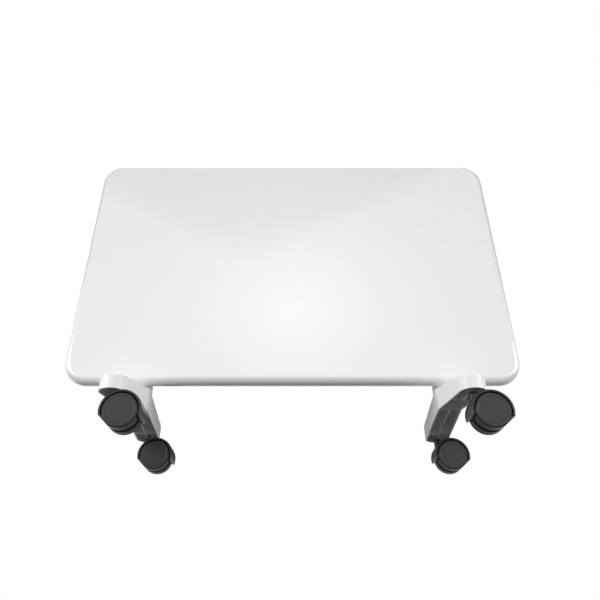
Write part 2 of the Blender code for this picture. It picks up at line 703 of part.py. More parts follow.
def add_heat_shield(steel, plastic):
    """The baffle behind the panel and the overheat cut-out on it."""
    low = CASING_FLOOR + GAP
    back = SHIELD_Y + SHIELD_WALL
    outline = [(SHIELD_Y, low), (SHIELD_Y + SHIELD_FOOT, low), (SHIELD_Y + SHIELD_FOOT, low + SHIELD_WALL),
               (back, low + SHIELD_WALL), (back, low + SHIELD_HEIGHT), (SHIELD_Y, low + SHIELD_HEIGHT)]
    turned_outline = [(-z, y) for y, z in outline]
    shield = slab("heat_shield", turned_outline, 2 * (MOUNT_X + SHIELD_PAST_MOUNT), steel)
    lay_along_x(shield)
    profile = [(0.0, CUTOUT_HEIGHT), (CUTOUT_CAP_RADIUS, CUTOUT_HEIGHT),
               (CUTOUT_CAP_RADIUS, CUTOUT_FLANGE), (CUTOUT_RADIUS, CUTOUT_FLANGE),
               (CUTOUT_RADIUS, 0.0), (0.0, 0.0)]
    cutout = turned("overheat_cutout", profile, SIDES_ROUND, plastic)
    cutout.rotation_euler = (math.radians(-90), 0.0, 0.0)
    cutout.location = (CUTOUT_X, back + GAP, ELEMENT_Z + CUTOUT_ABOVE_ELEMENT)


# Small electrical pieces

def add_floor_pieces(plastic, pale):
    """The tilt switch and the terminal block on the casing's floor."""
    low = CASING_FLOOR + GAP
    size = TILT_SIZE
    box("tilt_switch", (TILT_X - size[0] / 2, CASING_MID - size[1] / 2, low),
        (TILT_X + size[0] / 2, CASING_MID + size[1] / 2, low + size[2]), plastic, TILT_CHAMFER)
    size = BLOCK_SIZE
    y = CASING_MID - BLOCK_BACK
    top = low + size[2]
    block = box("terminal_block", (BLOCK_X - size[0] / 2, y - size[1] / 2, low),
                (BLOCK_X + size[0] / 2, y + size[1] / 2, top), pale)
    for way in range(1, BLOCK_WAYS):
        x = BLOCK_X - size[0] / 2 + size[0] * way / BLOCK_WAYS
        cut(block, box(f"block_slot_{way}",
                       (x - BLOCK_SLOT_WIDTH / 2, y - size[1], top - BLOCK_SLOT_DEPTH),
                       (x + BLOCK_SLOT_WIDTH / 2, y + size[1], top + OVERRUN)))


def add_cord_gland(plastic):
    """The bored bush in the casing's back that the cord would enter by."""
    neck = GLAND_RADIUS - GLAND_NECK
    wall = CASING_WALL + GAP
    profile = [(GLAND_FLANGE_RADIUS - GLAND_NECK / 2, GLAND_FLANGE),
               (GLAND_FLANGE_RADIUS, GLAND_FLANGE - GLAND_NECK / 2),
               (GLAND_FLANGE_RADIUS, GAP), (neck, GAP), (neck, -wall), (GLAND_RADIUS, -wall),
               (GLAND_RADIUS, -GLAND_LENGTH), (GLAND_BORE_RADIUS, -GLAND_LENGTH),
               (GLAND_BORE_RADIUS, GLAND_FLANGE)]
    gland = turned("cord_gland", profile, SIDES_ROUND, plastic)
    gland.rotation_euler = (math.radians(-90), 0.0, 0.0)
    gland.location = (BLOCK_X, CASING_BACK, GLAND_Z)


# Controls on the right side

def add_bezel(plastic):
    """The plate behind the knob and the switch."""
    outline = rounded_rectangle(BEZEL_HEIGHT, BEZEL_WIDTH, BEZEL_CORNER_RADIUS)
    bezel = slab("control_bezel", outline, BEZEL_THICKNESS, plastic)
    lay_along_x(bezel)
    bezel.location = (CASING_HALF + GAP + BEZEL_THICKNESS / 2, BEZEL_Y, BEZEL_Z)
    low = CASING_HALF - OVERRUN
    high = BEZEL_FACE + OVERRUN
    cut(bezel, rod("bezel_shaft_hole", SHAFT_RADIUS + GAP, (low, BEZEL_Y, KNOB_Z), (high, BEZEL_Y, KNOB_Z)))
    cut(bezel, box("bezel_switch_hole",
                   (low, BEZEL_Y - SWITCH_WIDTH / 2 - GAP, SWITCH_Z - SWITCH_HEIGHT / 2 - GAP),
                   (high, BEZEL_Y + SWITCH_WIDTH / 2 + GAP, SWITCH_Z + SWITCH_HEIGHT / 2 + GAP)))


def add_thermostat(pale, plastic):
    """The thermostat inside the casing, and the knob on its shaft."""
    size = THERMOSTAT_SIZE
    face = CASING_HALF - CASING_WALL - GAP
    body = box("thermostat_body", (face - size[0], BEZEL_Y - size[1] / 2, KNOB_Z - size[2] / 2),
               (face, BEZEL_Y + size[1] / 2, KNOB_Z + size[2] / 2), pale, THERMOSTAT_CHAMFER)
    knob_base = BEZEL_FACE + KNOB_RUNNING_GAP
    knob_end = knob_base + KNOB_HEIGHT
    socket_end = knob_end - KNOB_WALL - GAP
    join(body, rod("thermostat_shaft", SHAFT_RADIUS, (face - SHAFT_SINK, BEZEL_Y, KNOB_Z),
                   (socket_end, BEZEL_Y, KNOB_Z)))
    skirt = KNOB_RADIUS - KNOB_WALL
    inner = KNOB_HEIGHT - KNOB_WALL
    bore = SHAFT_RADIUS + GAP
    profile = [(0.0, KNOB_HEIGHT), (KNOB_TOP_RADIUS - KNOB_CHAMFER, KNOB_HEIGHT),
               (KNOB_TOP_RADIUS, KNOB_HEIGHT - KNOB_CHAMFER), (KNOB_RADIUS, 0.0), (skirt, 0.0),
               (KNOB_TOP_RADIUS - KNOB_WALL, inner - KNOB_WALL), (KNOB_BOSS_RADIUS, inner - KNOB_WALL),
               (KNOB_BOSS_RADIUS, 0.0), (bore, 0.0), (bore, inner), (0.0, inner)]
    knob = turned("thermostat_knob", profile, SIDES_WHEEL, plastic)
    lay_along_x(knob)
    knob.location = (knob_base, BEZEL_Y, KNOB_Z)
    size = (KNOB_RADIUS, KNOB_MARK_WIDTH, 2 * KNOB_MARK_DEPTH)
    mark = add_object("knob_mark", box_mesh("knob_mark", size))
    mark.parent = knob
    mark.location = (-KNOB_RADIUS / 2 - KNOB_BOSS_RADIUS / 2, 0.0, KNOB_HEIGHT)
    cut(knob, mark)


def rocker_outline():
    """The rocker seen from the side: a round base under a dished top."""
    end = SWITCH_HEIGHT / 2 - SWITCH_WALL - ROCKER_END_RISE
    base = arc((0.0, 0.0), ROCKER_BASE_RADIUS, 200, 340, ARC_STEPS)
    return base + [(end, -ROCKER_DEPTH), (end, ROCKER_REACH), (0.0, ROCKER_REACH - ROCKER_END_RISE),
                   (-end, ROCKER_REACH), (-end, -ROCKER_DEPTH)]


def add_switch(plastic):
    """The switch body through the casing's side, and its rocker."""
    lip = BEZEL_FACE + GAP
    face = lip + SWITCH_LIP_THICKNESS
    half_y = SWITCH_WIDTH / 2
    half_z = SWITCH_HEIGHT / 2
    housing = box("switch_housing", (lip - SWITCH_BODY_DEPTH, BEZEL_Y - half_y, SWITCH_Z - half_z),
                  (face - SWITCH_LIP_THICKNESS / 2, BEZEL_Y + half_y, SWITCH_Z + half_z), plastic)
    join(housing, box("switch_lip", (lip, BEZEL_Y - half_y - SWITCH_LIP, SWITCH_Z - half_z - SWITCH_LIP),
                      (face, BEZEL_Y + half_y + SWITCH_LIP, SWITCH_Z + half_z + SWITCH_LIP)))
    pivot = face - ROCKER_PIVOT_SINK
    well_y = half_y - SWITCH_WALL
    well_z = half_z - SWITCH_WALL + GAP
    cut(housing, box("switch_well", (pivot - ROCKER_POCKET_DEPTH, BEZEL_Y - well_y, SWITCH_Z - well_z),
                     (face + OVERRUN, BEZEL_Y + well_y, SWITCH_Z + well_z)))
    reach = well_y + TRUNNION_LENGTH
    cut(housing, rod("trunnion_hole", TRUNNION_RADIUS + GAP, (pivot, BEZEL_Y - reach, SWITCH_Z),
                     (pivot, BEZEL_Y + reach, SWITCH_Z)))
    width = 2 * (well_y - GAP)
    rocker = slab("switch_rocker", rocker_outline(), width, plastic)
    rocker.location = (pivot, BEZEL_Y, SWITCH_Z)
    upright = Matrix(((0.0, 1.0, 0.0), (0.0, 0.0, 1.0), (1.0, 0.0, 0.0)))
    tilt = Matrix.Rotation(math.radians(-ROCKER_TILT), 3, "Y")
    rocker.rotation_euler = (tilt @ upright).to_euler()
    reach -= GAP
    pin = rod("trunnion", TRUNNION_RADIUS, (pivot, BEZEL_Y - reach, SWITCH_Z),
              (pivot, BEZEL_Y + reach, SWITCH_Z))
    join(rocker, pin)


# Inner wires

def add_wire(name, points, finish):
    """A wire along hand-chosen points."""
    curve = bpy.data.curves.new(name, "CURVE")
    curve.dimensions = "3D"
    curve.bevel_depth = WIRE_RADIUS
    curve.bevel_resolution = 1
    curve.use_fill_caps = True
    line = curve.splines.new("POLY")
    line.points.add(len(points) - 1)
    for point, place in zip(line.points, points):
        point.co = (*place, 1.0)
    curve.materials.append(finish)
    made = bpy.data.objects.new(name, curve)
    HEATER.objects.link(made)


def smooth_route(corners, radius):
    """The corners of a route, each rounded by a short quadratic curve."""
    route = [Vector(corners[0])]
    for before, corner, after in zip(corners, corners[1:], corners[2:]):
        corner = Vector(corner)
        start = corner + (Vector(before) - corner).normalized() * radius
        end = corner + (Vector(after) - corner).normalized() * radius
        for step in range(ARC_STEPS // 2 + 1):
            t = step / (ARC_STEPS // 2)
            route.append(start * (1 - t) ** 2 + corner * 2 * t * (1 - t) + end * t ** 2)
    route.append(Vector(corners[-1]))
    return route


def add_wires(finish):
    """Five wires: block to switch, switch to thermostat, and on to the rod."""
    step = WIRE_STEP
    block_y = CASING_MID - BLOCK_BACK
    block_top = CASING_FLOOR + GAP + BLOCK_SIZE[2] + GAP
    inner_face = CASING_HALF - CASING_WALL - GAP - THERMOSTAT_SIZE[0]
    body_top = KNOB_Z + THERMOSTAT_SIZE[2] / 2
    body_low = KNOB_Z - THERMOSTAT_SIZE[2] / 2
    switch_back = BEZEL_FACE - SWITCH_BODY_DEPTH
    tip = ROD_HALF_LENGTH + ROD_PIN_LENGTH + GAP
    cap = SHIELD_Y + SHIELD_WALL + GAP + CUTOUT_HEIGHT + GAP
    cap_z = ELEMENT_Z + CUTOUT_ABOVE_ELEMENT
    tail_y = BEZEL_Y + step
    link_x = switch_back - 2 * step
    routes = {
        "supply": [(BLOCK_X + 2 * step, block_y, block_top),
                   (BLOCK_X + 2 * step, block_y, ELEMENT_Z),
                   (inner_face - 3 * step, BEZEL_Y, ELEMENT_Z + 6 * step),
                   (inner_face - 3 * step, BEZEL_Y, SWITCH_Z + step),
                   (switch_back, BEZEL_Y, SWITCH_Z + step)],
        "link": [(switch_back, tail_y, SWITCH_Z - step),
                 (link_x, tail_y, SWITCH_Z - step),
                 (link_x, tail_y, body_top + 2 * step),
                 (inner_face + step, tail_y, body_top + 2 * step),
                 (inner_face + step, tail_y, body_top + GAP)],
        "element_right": [(inner_face + step, ELEMENT_Y, body_low - GAP),
                          (inner_face + step, ELEMENT_Y, ELEMENT_Z),
                          (tip, ELEMENT_Y, ELEMENT_Z)],
        "cutout": [(BLOCK_X - 2 * step, block_y, block_top),
                   (BLOCK_X - 2 * step, block_y, cap_z + step / 2),
                   (CUTOUT_X + step / 2, block_y, cap_z + step / 2),
                   (CUTOUT_X + step / 2, cap, cap_z + step / 2)],
        "element_left": [(CUTOUT_X - step / 2, cap, cap_z - step / 2),
                         (CUTOUT_X - step / 2, ELEMENT_Y, cap_z - step / 2),
                         (-tip - 3 * step, ELEMENT_Y, cap_z - step / 2),
                         (-tip - 3 * step, ELEMENT_Y, ELEMENT_Z),
                         (-tip, ELEMENT_Y, ELEMENT_Z)],
    }
    for word, corners in routes.items():
        add_wire(f"wire_{word}", smooth_route(corners, WIRE_BEND), finish)


# Feet

def leg_line():
    """The foot's centre line in plan: front stem, bend, rear stem."""
    front = Vector((STEM_X, -STEM_SPACING_Y / 2))
    bend = Vector((STEM_X - LEG_BEND_INBOARD, FACE_Y + LEG_BEND_BEHIND_FACE))
    rear = Vector((STEM_X, STEM_SPACING_Y / 2))
    return front, bend, rear


def leg_centre_x(y):
    """The centre line's X behind the bend."""
    _, bend, rear = leg_line()
    return bend.x + (rear.x - bend.x) * (y - bend.y) / (rear.y - bend.y)


def ribbon(inset, side):
    """The foot's outline in plan: a band with round ends, narrower at the bend."""
    front, bend, rear = leg_line()
    first = (bend - front).normalized()
    second = (rear - bend).normalized()
    start = math.degrees(math.atan2(first.y, first.x))
    finish = math.degrees(math.atan2(second.y, second.x))
    across = Vector((-first.y - second.y, first.x + second.x)).normalized()
    mitre = across * (LEG_BEND_HALF_WIDTH - inset) / across.dot(Vector((-first.y, first.x)))
    radius = LEG_END_RADIUS - inset
    outline = arc(front, radius, start + 90, start + 270, 2 * ARC_STEPS)
    outline.append(tuple(bend - mitre))
    outline += arc(rear, radius, finish - 90, finish + 90, 2 * ARC_STEPS)
    outline.append(tuple(bend + mitre))
    return [(side * x, y) for x, y in outline]


def leg_side(name, drop):
    """The foot's profile from the side: its top climbs from nose and heel to the neck."""
    past = LEG_REACH + OVERRUN
    heights = [(LEG_RIM - 2 * OVERRUN, -past), (LEG_RIM - 2 * OVERRUN, past),
               (LEG_HEEL - drop, past), (LEG_HEEL - drop, LEG_REACH),
               (LEG_CREST - drop, NECK_BACK), (LEG_CREST - drop, NECK_FRONT),
               (LEG_NOSE - drop, -LEG_REACH), (LEG_NOSE - drop, -past)]
    profile = slab(name, [(-z, y) for z, y in heights], 2 * (STEM_X + LEG_END_RADIUS + OVERRUN))
    lay_along_x(profile)
    return profile


def neck_outline(inset, side):
    """The neck's section: the part of the band just behind the panel, round in front."""
    half = LEG_BEND_HALF_WIDTH - LEG_NECK_INSET - inset
    front = NECK_FRONT + inset
    back = NECK_BACK - inset
    radius = LEG_NECK_ROUND - inset
    x = leg_centre_x(front)
    outline = arc((x - half + radius, front + radius), radius, 180, 270, ARC_STEPS // 2)
    outline += arc((x + half - radius, front + radius), radius, 270, 360, ARC_STEPS // 2)
    x = leg_centre_x(back)
    outline += [(x + half, back), (x - half, back)]
    return [(side * x, y) for x, y in outline]


def place_between(made, low, high):
    """Centre a flat slab between two heights."""
    made.location = (0.0, 0.0, (low + high) / 2)
    return made


def flat(name, outline, low, high, finish=None):
    """A plan outline between two heights."""
    return place_between(slab(name, outline, high - low, finish), low, high)


def leg_pockets(word, side):
    """The hollow under a foot, with the ribs and bosses left standing."""
    hollow = flat(f"leg_hollow_{word}", ribbon(LEG_WALL, side), LEG_RIM - OVERRUN, LEG_CREST)
    combine(hollow, "INTERSECT", [leg_side(f"hollow_side_{word}", LEG_CEILING)])
    low = LEG_RIM - 2 * OVERRUN
    high = LEG_CREST + OVERRUN
    front, bend, rear = leg_line()
    half = LEG_RIB / 2
    for number, stem in enumerate((front, rear)):
        along = (stem - bend).normalized()
        across = Vector((-along.y, along.x)) * half
        corners = [bend - across, stem - across, stem + across, bend + across]
        outline = [(side * point.x, point.y) for point in corners]
        cut(hollow, flat(f"long_rib_{word}_{number}", outline, low, high))
        centre = stem - along * LEG_WEB_TO_STEM
        wide = Vector((-along.y, along.x)) * LEG_END_RADIUS
        thick = along * half
        corners = [centre - wide - thick, centre + wide - thick, centre + wide + thick, centre - wide + thick]
        outline = [(side * point.x, point.y) for point in corners]
        cut(hollow, flat(f"cross_web_{word}_{number}", outline, low, high))
        cut(hollow, rod(f"leg_boss_{word}_{number}", LEG_BOSS_RADIUS, (side * stem.x, stem.y, LEG_BOSS_END),
                        (side * stem.x, stem.y, high), sides=SIDES_ROUND))
    reach = LEG_END_RADIUS + OVERRUN
    outline = [(side * (bend.x - reach), bend.y - half), (side * (bend.x + reach), bend.y - half),
               (side * (bend.x + reach), bend.y + half), (side * (bend.x - reach), bend.y + half)]
    cut(hollow, flat(f"bend_web_{word}", outline, low, high))
    return hollow


def add_leg(word, side, plastic):
    """One foot: a ribbed channel with a hollow neck up to the casing."""
    leg = flat(f"leg_{word}", ribbon(0.0, side), LEG_RIM, LEG_CREST + OVERRUN, plastic)
    combine(leg, "INTERSECT", [leg_side(f"leg_side_{word}", 0.0)])
    join(leg, flat(f"leg_neck_{word}", neck_outline(0.0, side), LEG_CREST - LEG_CEILING / 2, NECK_TOP))
    cut(leg, leg_pockets(word, side))
    cut(leg, flat(f"neck_hollow_{word}", neck_outline(LEG_NECK_WALL, side),
                  LEG_CREST - LEG_CEILING - OVERRUN, NECK_TOP - LEG_NECK_CEILING))
    for number, stem in enumerate((leg_line()[0], leg_line()[2])):
        cut(leg, rod(f"stem_bore_{word}_{number}", STEM_RING_RADIUS + GAP,
                     (side * stem.x, stem.y, LEG_RIM - OVERRUN),
                     (side * stem.x, stem.y, LEG_BORE_TOP), sides=SIDES_ROUND))
    for number, (x, y) in enumerate(leg_screw_places()):
        if x * side > 0:
            cut(leg, rod(f"neck_screw_hole_{number}", SCREW_RADIUS + GAP,
                         (x, y, NECK_TOP - LEG_NECK_CEILING - OVERRUN), (x, y, NECK_TOP + OVERRUN)))
    return leg


# Casters

def hood_sector(radius, inner_radius, steps):
    """A ring sector, or a filled sector closed by its chord."""
    outline = arc((0.0, 0.0), radius, HOOD_TRAILING_END, HOOD_LEADING_END, steps)
    if inner_radius:
        outline += arc((0.0, 0.0), inner_radius, HOOD_LEADING_END, HOOD_TRAILING_END, steps)
    return outline


def add_hood(word, stem, plastic):
    """The fender over both wheels, its web, and the collar round the stem."""
    axle = (stem[0] + TRAIL, stem[1], WHEEL_RADIUS)
    hood = slab(f"hood_{word}", hood_sector(HOOD_RADIUS, HOOD_INNER_RADIUS, SIDES_ROUND), HOOD_WIDTH, plastic)
    lay_along_y(hood)
    hood.location = axle
    web = slab(f"hood_web_{word}", hood_sector((HOOD_RADIUS + HOOD_INNER_RADIUS) / 2, 0.0, SIDES_ROUND),
               HOOD_WEB)
    lay_along_y(web)
    web.location = axle
    shoulder = COLLAR_TOP - HOOD_SOCKET_DEPTH
    collar = rod(f"hood_collar_{word}", HOOD_COLLAR_RADIUS, (*stem, WHEEL_RADIUS), (*stem, COLLAR_TOP),
                 sides=SIDES_ROUND)
    space = HOOD_WEB / 2
    reach = HOOD_WIDTH / 2 + OVERRUN
    for number, way in enumerate((-1, 1)):
        cut(collar, rod(f"wheel_space_{word}_{number}", HOOD_INNER_RADIUS,
                        (axle[0], axle[1] + way * space, axle[2]),
                        (axle[0], axle[1] + way * reach, axle[2]), sides=SIDES_WHEEL))
    join(hood, web, collar)
    cut(hood, rod(f"socket_{word}", STEM_RADIUS + GAP, (*stem, shoulder), (*stem, COLLAR_TOP + OVERRUN),
                  sides=SIDES_SMALL))
    cut(hood, rod(f"tail_bore_{word}", STEM_TAIL_RADIUS + GAP,
                  (*stem, shoulder - STEM_TAIL_LENGTH - GAP), (*stem, shoulder + OVERRUN),
                  sides=SIDES_SMALL))
    cut(hood, rod(f"axle_bore_{word}", AXLE_RADIUS + GAP, (axle[0], axle[1] - reach, axle[2]),
                  (axle[0], axle[1] + reach, axle[2]), sides=SIDES_SMALL))
    return hood


def wheel_profile():
    """Half of the pair, turned: a dished face, a tread and a hollow inside."""
    width = WHEEL_PAIR_WIDTH / 2 - HOOD_WEB / 2 - GAP
    bore = AXLE_RADIUS + GAP
    inside = width - WHEEL_FACE_WALL - WHEEL_FACE_DISH
    rim = WHEEL_RADIUS - WHEEL_RIM_WALL
    return [(0.0, width - WHEEL_FACE_DISH), (WHEEL_DISH_RADIUS, width - WHEEL_FACE_DISH),
            (WHEEL_DISH_RADIUS + WHEEL_FACE_DISH, width), (WHEEL_FACE_RADIUS, width),
            (WHEEL_RADIUS, width - WHEEL_SHOULDER), (WHEEL_RADIUS, WHEEL_INNER_CHAMFER),
            (WHEEL_RADIUS - WHEEL_INNER_CHAMFER, 0.0), (rim, 0.0), (rim, inside),
            (WHEEL_HUB_RADIUS, inside), (WHEEL_HUB_RADIUS, 0.0), (bore, 0.0),
            (bore, inside), (0.0, inside)]


def add_wheels(word, stem, plastic, steel):
    """Two wheels on one axle that the hood's web holds."""
    axle = Vector((stem[0] + TRAIL, stem[1], WHEEL_RADIUS))
    for way, end in ((-1, "front"), (1, "rear")):
        wheel = turned(f"wheel_{word}_{end}", wheel_profile(), SIDES_WHEEL, plastic)
        wheel.rotation_euler = (math.radians(-90 * way), 0.0, 0.0)
        wheel.location = axle + Vector((0.0, way * (HOOD_WEB / 2 + GAP), 0.0))
    reach = Vector((0.0, WHEEL_PAIR_WIDTH / 2 - WHEEL_FACE_WALL - WHEEL_FACE_DISH - GAP - AXLE_INSET, 0.0))
    rod(f"axle_{word}", AXLE_RADIUS, axle - reach, axle + reach, steel)


def add_stem(word, stem, steel):
    """The stepped steel stem, held in the foot's boss by its ring."""
    shoulder = COLLAR_TOP - HOOD_SOCKET_DEPTH + GAP
    tail = shoulder - STEM_TAIL_LENGTH
    top = LEG_BORE_TOP - GAP
    ring = (LEG_BOSS_END + top) / 2
    profile = [(0.0, top), (STEM_RADIUS - STEM_HEAD_CHAMFER, top), (STEM_RADIUS, top - STEM_HEAD_CHAMFER),
               (STEM_RADIUS, ring + STEM_RING_HEIGHT), (STEM_RING_RADIUS, ring + STEM_RING_HEIGHT / 2),
               (STEM_RING_RADIUS, ring - STEM_RING_HEIGHT / 2), (STEM_RADIUS, ring - STEM_RING_HEIGHT),
               (STEM_RADIUS, shoulder), (STEM_TAIL_RADIUS, shoulder), (STEM_TAIL_RADIUS, tail), (0.0, tail)]
    made = turned(f"stem_{word}", profile, SIDES_SMALL, steel)
    made.location = (*stem, 0.0)


def add_casters(plastic, steel):
    """Four casters, front and rear, left and right, all trailing one way."""
    for side, side_word in ((-1, "left"), (1, "right")):
        for way, way_word in ((-1, "front"), (1, "rear")):
            stem = (side * STEM_X, way * STEM_SPACING_Y / 2)
            word = f"{way_word}_{side_word}"
            add_hood(word, stem, plastic)
            add_wheels(word, stem, plastic, steel)
            add_stem(word, stem, steel)


def smooth_round_pieces():
    """Shade every piece smooth, with its edges kept sharp."""
    for made in HEATER.objects:
        if made.type == "MESH" and made.data.polygons:
            made.data.shade_smooth()
            made.data.set_sharp_from_angle(angle=math.radians(30))


def main():
    clear_scene()
    enamel = material("white_enamel", (0.80, 0.80, 0.80), 0.22, 0.0)
    casing_paint = material("casing_enamel", (0.72, 0.72, 0.72), 0.35, 0.0)
    leg_plastic = material("white_moulding", (0.74, 0.74, 0.73), 0.42, 0.0)
    dark_plastic = material("charcoal_nylon", (0.060, 0.060, 0.060), 0.45, 0.0)
    pale_plastic = material("pale_phenolic", (0.55, 0.53, 0.48), 0.55, 0.0)
    ceramic = material("ceramic", (0.78, 0.76, 0.70), 0.6, 0.0)
    wire_cover = material("wire_silicone", (0.35, 0.05, 0.04), 0.5, 0.0)
    steel = material("bright_steel", (0.62, 0.62, 0.60), 0.25, 1.0)
    zinc = material("zinc_sheet", (0.50, 0.51, 0.52), 0.4, 1.0)
    aluminium = material("extruded_aluminium", (0.66, 0.66, 0.66), 0.35, 1.0)
    add_front_panel(enamel)
    add_rear_casing(casing_paint)
    add_outlet_grille(casing_paint)
    add_panel_brackets(zinc)
    add_screws(steel)
    add_element(steel, aluminium)
    add_element_mounts(zinc, ceramic)
    add_heat_shield(zinc, pale_plastic)
    add_floor_pieces(dark_plastic, pale_plastic)
    add_cord_gland(dark_plastic)
    add_bezel(dark_plastic)
    add_thermostat(pale_plastic, leg_plastic)
    add_switch(dark_plastic)
    add_wires(wire_cover)
    for side, word in ((-1, "left"), (1, "right")):
        add_leg(word, side, leg_plastic)
    add_casters(dark_plastic, steel)
    smooth_round_pieces()


main()
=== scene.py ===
# %% [markdown]
# # A flat-panel convector heater on casters
#
# The heater is a white enamelled steel tray in front of a folded steel casing. Two bent
# plastic feet are screwed under the casing, and each foot carries a twin-wheel caster at
# both ends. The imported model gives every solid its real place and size. This script gives
# those solids their finish, and makes finer surfaces for the pieces that show most.

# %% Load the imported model
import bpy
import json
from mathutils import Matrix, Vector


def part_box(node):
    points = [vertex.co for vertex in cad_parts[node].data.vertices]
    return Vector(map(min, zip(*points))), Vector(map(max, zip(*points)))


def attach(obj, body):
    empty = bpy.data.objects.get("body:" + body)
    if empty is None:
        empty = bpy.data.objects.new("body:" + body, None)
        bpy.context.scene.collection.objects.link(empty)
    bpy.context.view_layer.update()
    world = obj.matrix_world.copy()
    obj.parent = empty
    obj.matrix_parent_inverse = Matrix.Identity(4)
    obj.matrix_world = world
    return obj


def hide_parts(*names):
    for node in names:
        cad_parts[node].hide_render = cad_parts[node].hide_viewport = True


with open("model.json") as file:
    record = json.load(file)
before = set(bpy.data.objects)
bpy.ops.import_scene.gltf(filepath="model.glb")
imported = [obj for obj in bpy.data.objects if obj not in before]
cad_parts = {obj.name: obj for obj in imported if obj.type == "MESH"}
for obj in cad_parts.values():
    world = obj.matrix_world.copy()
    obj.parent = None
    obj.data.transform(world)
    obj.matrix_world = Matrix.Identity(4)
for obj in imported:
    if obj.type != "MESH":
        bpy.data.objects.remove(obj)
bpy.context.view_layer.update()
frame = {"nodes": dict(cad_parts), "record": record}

# %% [markdown]
# Everything below is in metres, so a millimetre gets a name. Places are read from the
# solids' boxes, which keeps each new surface where the solid is.

# %% Units and places
import json
import math

import bmesh
import bpy
import numpy as np
from mathutils import Matrix, Vector

MM = 0.001


def span(node):
    """A solid's lowest and highest corners, as two numpy rows."""
    return np.array([list(corner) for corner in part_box(node)])


def in_scene(name, data):
    """A new object that holds the data, linked to the scene."""
    made = bpy.data.objects.new(name, data)
    bpy.context.scene.collection.objects.link(made)
    return made


PANEL = span("front_panel")
CASING = span("rear_casing")
FACE_Y = PANEL[0, 1]
PANEL_BOTTOM = PANEL[0, 2]
print("panel", np.round((PANEL[1] - PANEL[0]) / MM, 1), "mm")

# %% [markdown]
# The photograph looks up at the heater from in front and below, as if it stood on glass.
# The camera's place was worked out from how the panel narrows towards its top. The object
# sits a little left of the picture's middle, which a small shift gives.

# %% Camera
CAMERA_BEFORE_FACE = 731 * MM
CAMERA_BELOW_PANEL = 294.4 * MM
CAMERA_PITCH = 30.2
CAMERA_LENS = 34.2
CAMERA_SHIFT = 0.0125

camera_data = bpy.data.cameras.new("camera")
camera_data.lens = CAMERA_LENS
camera_data.sensor_width = 36.0
camera_data.shift_x = CAMERA_SHIFT
camera = in_scene("camera", camera_data)
camera.location = (0.0, FACE_Y - CAMERA_BEFORE_FACE, PANEL_BOTTOM - CAMERA_BELOW_PANEL)
camera.rotation_euler = (math.radians(90.0 + CAMERA_PITCH), 0.0, 0.0)
bpy.context.scene.camera = camera
print("camera at", [round(value, 3) for value in camera.location])

# %% [markdown]
# A material here is a Principled shader with a few texture nodes. Small helpers do all of
# it. They turn a written colour into linear light, add a node with its settings and links,
# map one range to another, start a material, and give it grain and uneven roughness.

# %% Helpers for materials


def linear(hex_colour):
    """An sRGB hex colour as linear light: the sRGB curve undone for each channel."""
    values = [int(hex_colour[i:i + 2], 16) / 255 for i in (1, 3, 5)]
    values = [v / 12.92 if v <= 0.04045 else ((v + 0.055) / 1.055) ** 2.4 for v in values]
    return (*values, 1.0)


def add_node(tree, kind, inputs=None, **settings):
    """Add one node. An input is a plain value, or the output socket that feeds it."""
    node = tree.nodes.new(kind)
    for name, value in settings.items():
        setattr(node, name, value)
    for name, value in (inputs or {}).items():
        if isinstance(value, bpy.types.NodeSocket):
            tree.links.new(value, node.inputs[name])
        else:
            node.inputs[name].default_value = value
    return node


def ranged(tree, value, low=0.0, high=1.0, source=(0.0, 1.0), **settings):
    """A value mapped from the source range to the range from low to high."""
    inputs = {"Value": value, "From Min": source[0], "From Max": source[1], "To Min": low, "To Max": high}
    return add_node(tree, "ShaderNodeMapRange", inputs, **settings).outputs["Result"]


def start_material(name, hex_colour, roughness, metallic=0.0, **sockets):
    """A material whose Principled shader has its plain values set."""
    made = bpy.data.materials.new(name)
    made.use_nodes = True
    shader = made.node_tree.nodes["Principled BSDF"]
    shader.inputs["Base Color"].default_value = linear(hex_colour)
    shader.inputs["Roughness"].default_value = roughness
    shader.inputs["Metallic"].default_value = metallic
    for socket, value in sockets.items():
        shader.inputs[socket.replace("_", " ")].default_value = value
    made.diffuse_color = linear(hex_colour)
    return made, made.node_tree, shader


def add_grain(tree, shader, size, depth, detail=3.0, stretch=(1.0, 1.0, 1.0)):
    """Bump the surface with noise whose lumps are size across and depth high."""
    place = add_node(tree, "ShaderNodeTexCoord").outputs["Object"]
    scaled = add_node(tree, "ShaderNodeMapping", {"Vector": place, "Scale": stretch})
    noise = add_node(tree, "ShaderNodeTexNoise", {"Vector": scaled.outputs["Vector"], "Scale": 1 / size,
                                                  "Detail": detail})
    bump = add_node(tree, "ShaderNodeBump", {"Height": noise.outputs["Fac"], "Distance": depth,
                                             "Strength": 1.0})
    tree.links.new(bump.outputs["Normal"], shader.inputs["Normal"])
    return noise


# Most of the noise lies between these two levels.
NOISE_RANGE = (0.3, 0.7)


def vary_roughness(tree, shader, noise, low, high):
    """Let the noise move the roughness between two values."""
    spread = ranged(tree, noise.outputs["Fac"], low, high, NOISE_RANGE)
    tree.links.new(spread, shader.inputs["Roughness"])


print("material helpers ready")

# %% [markdown]
# The floor is a plain pale sheet. It has to stay out of the photograph's view, because
# the camera is beneath it, so its underside is transparent. It throws no light back on
# the heater: what comes from below belongs to the world, as if the floor were glass. Near
# the heater it shows the light and the shadow, and further out it has one even tone.

# %% Floor
FLOOR_SIZE = 14.0
FLOOR_COLOUR = "#E9E9E8"
FLOOR_ROUGHNESS = 0.9
FLOOR_BLEND = (0.7, 1.6)


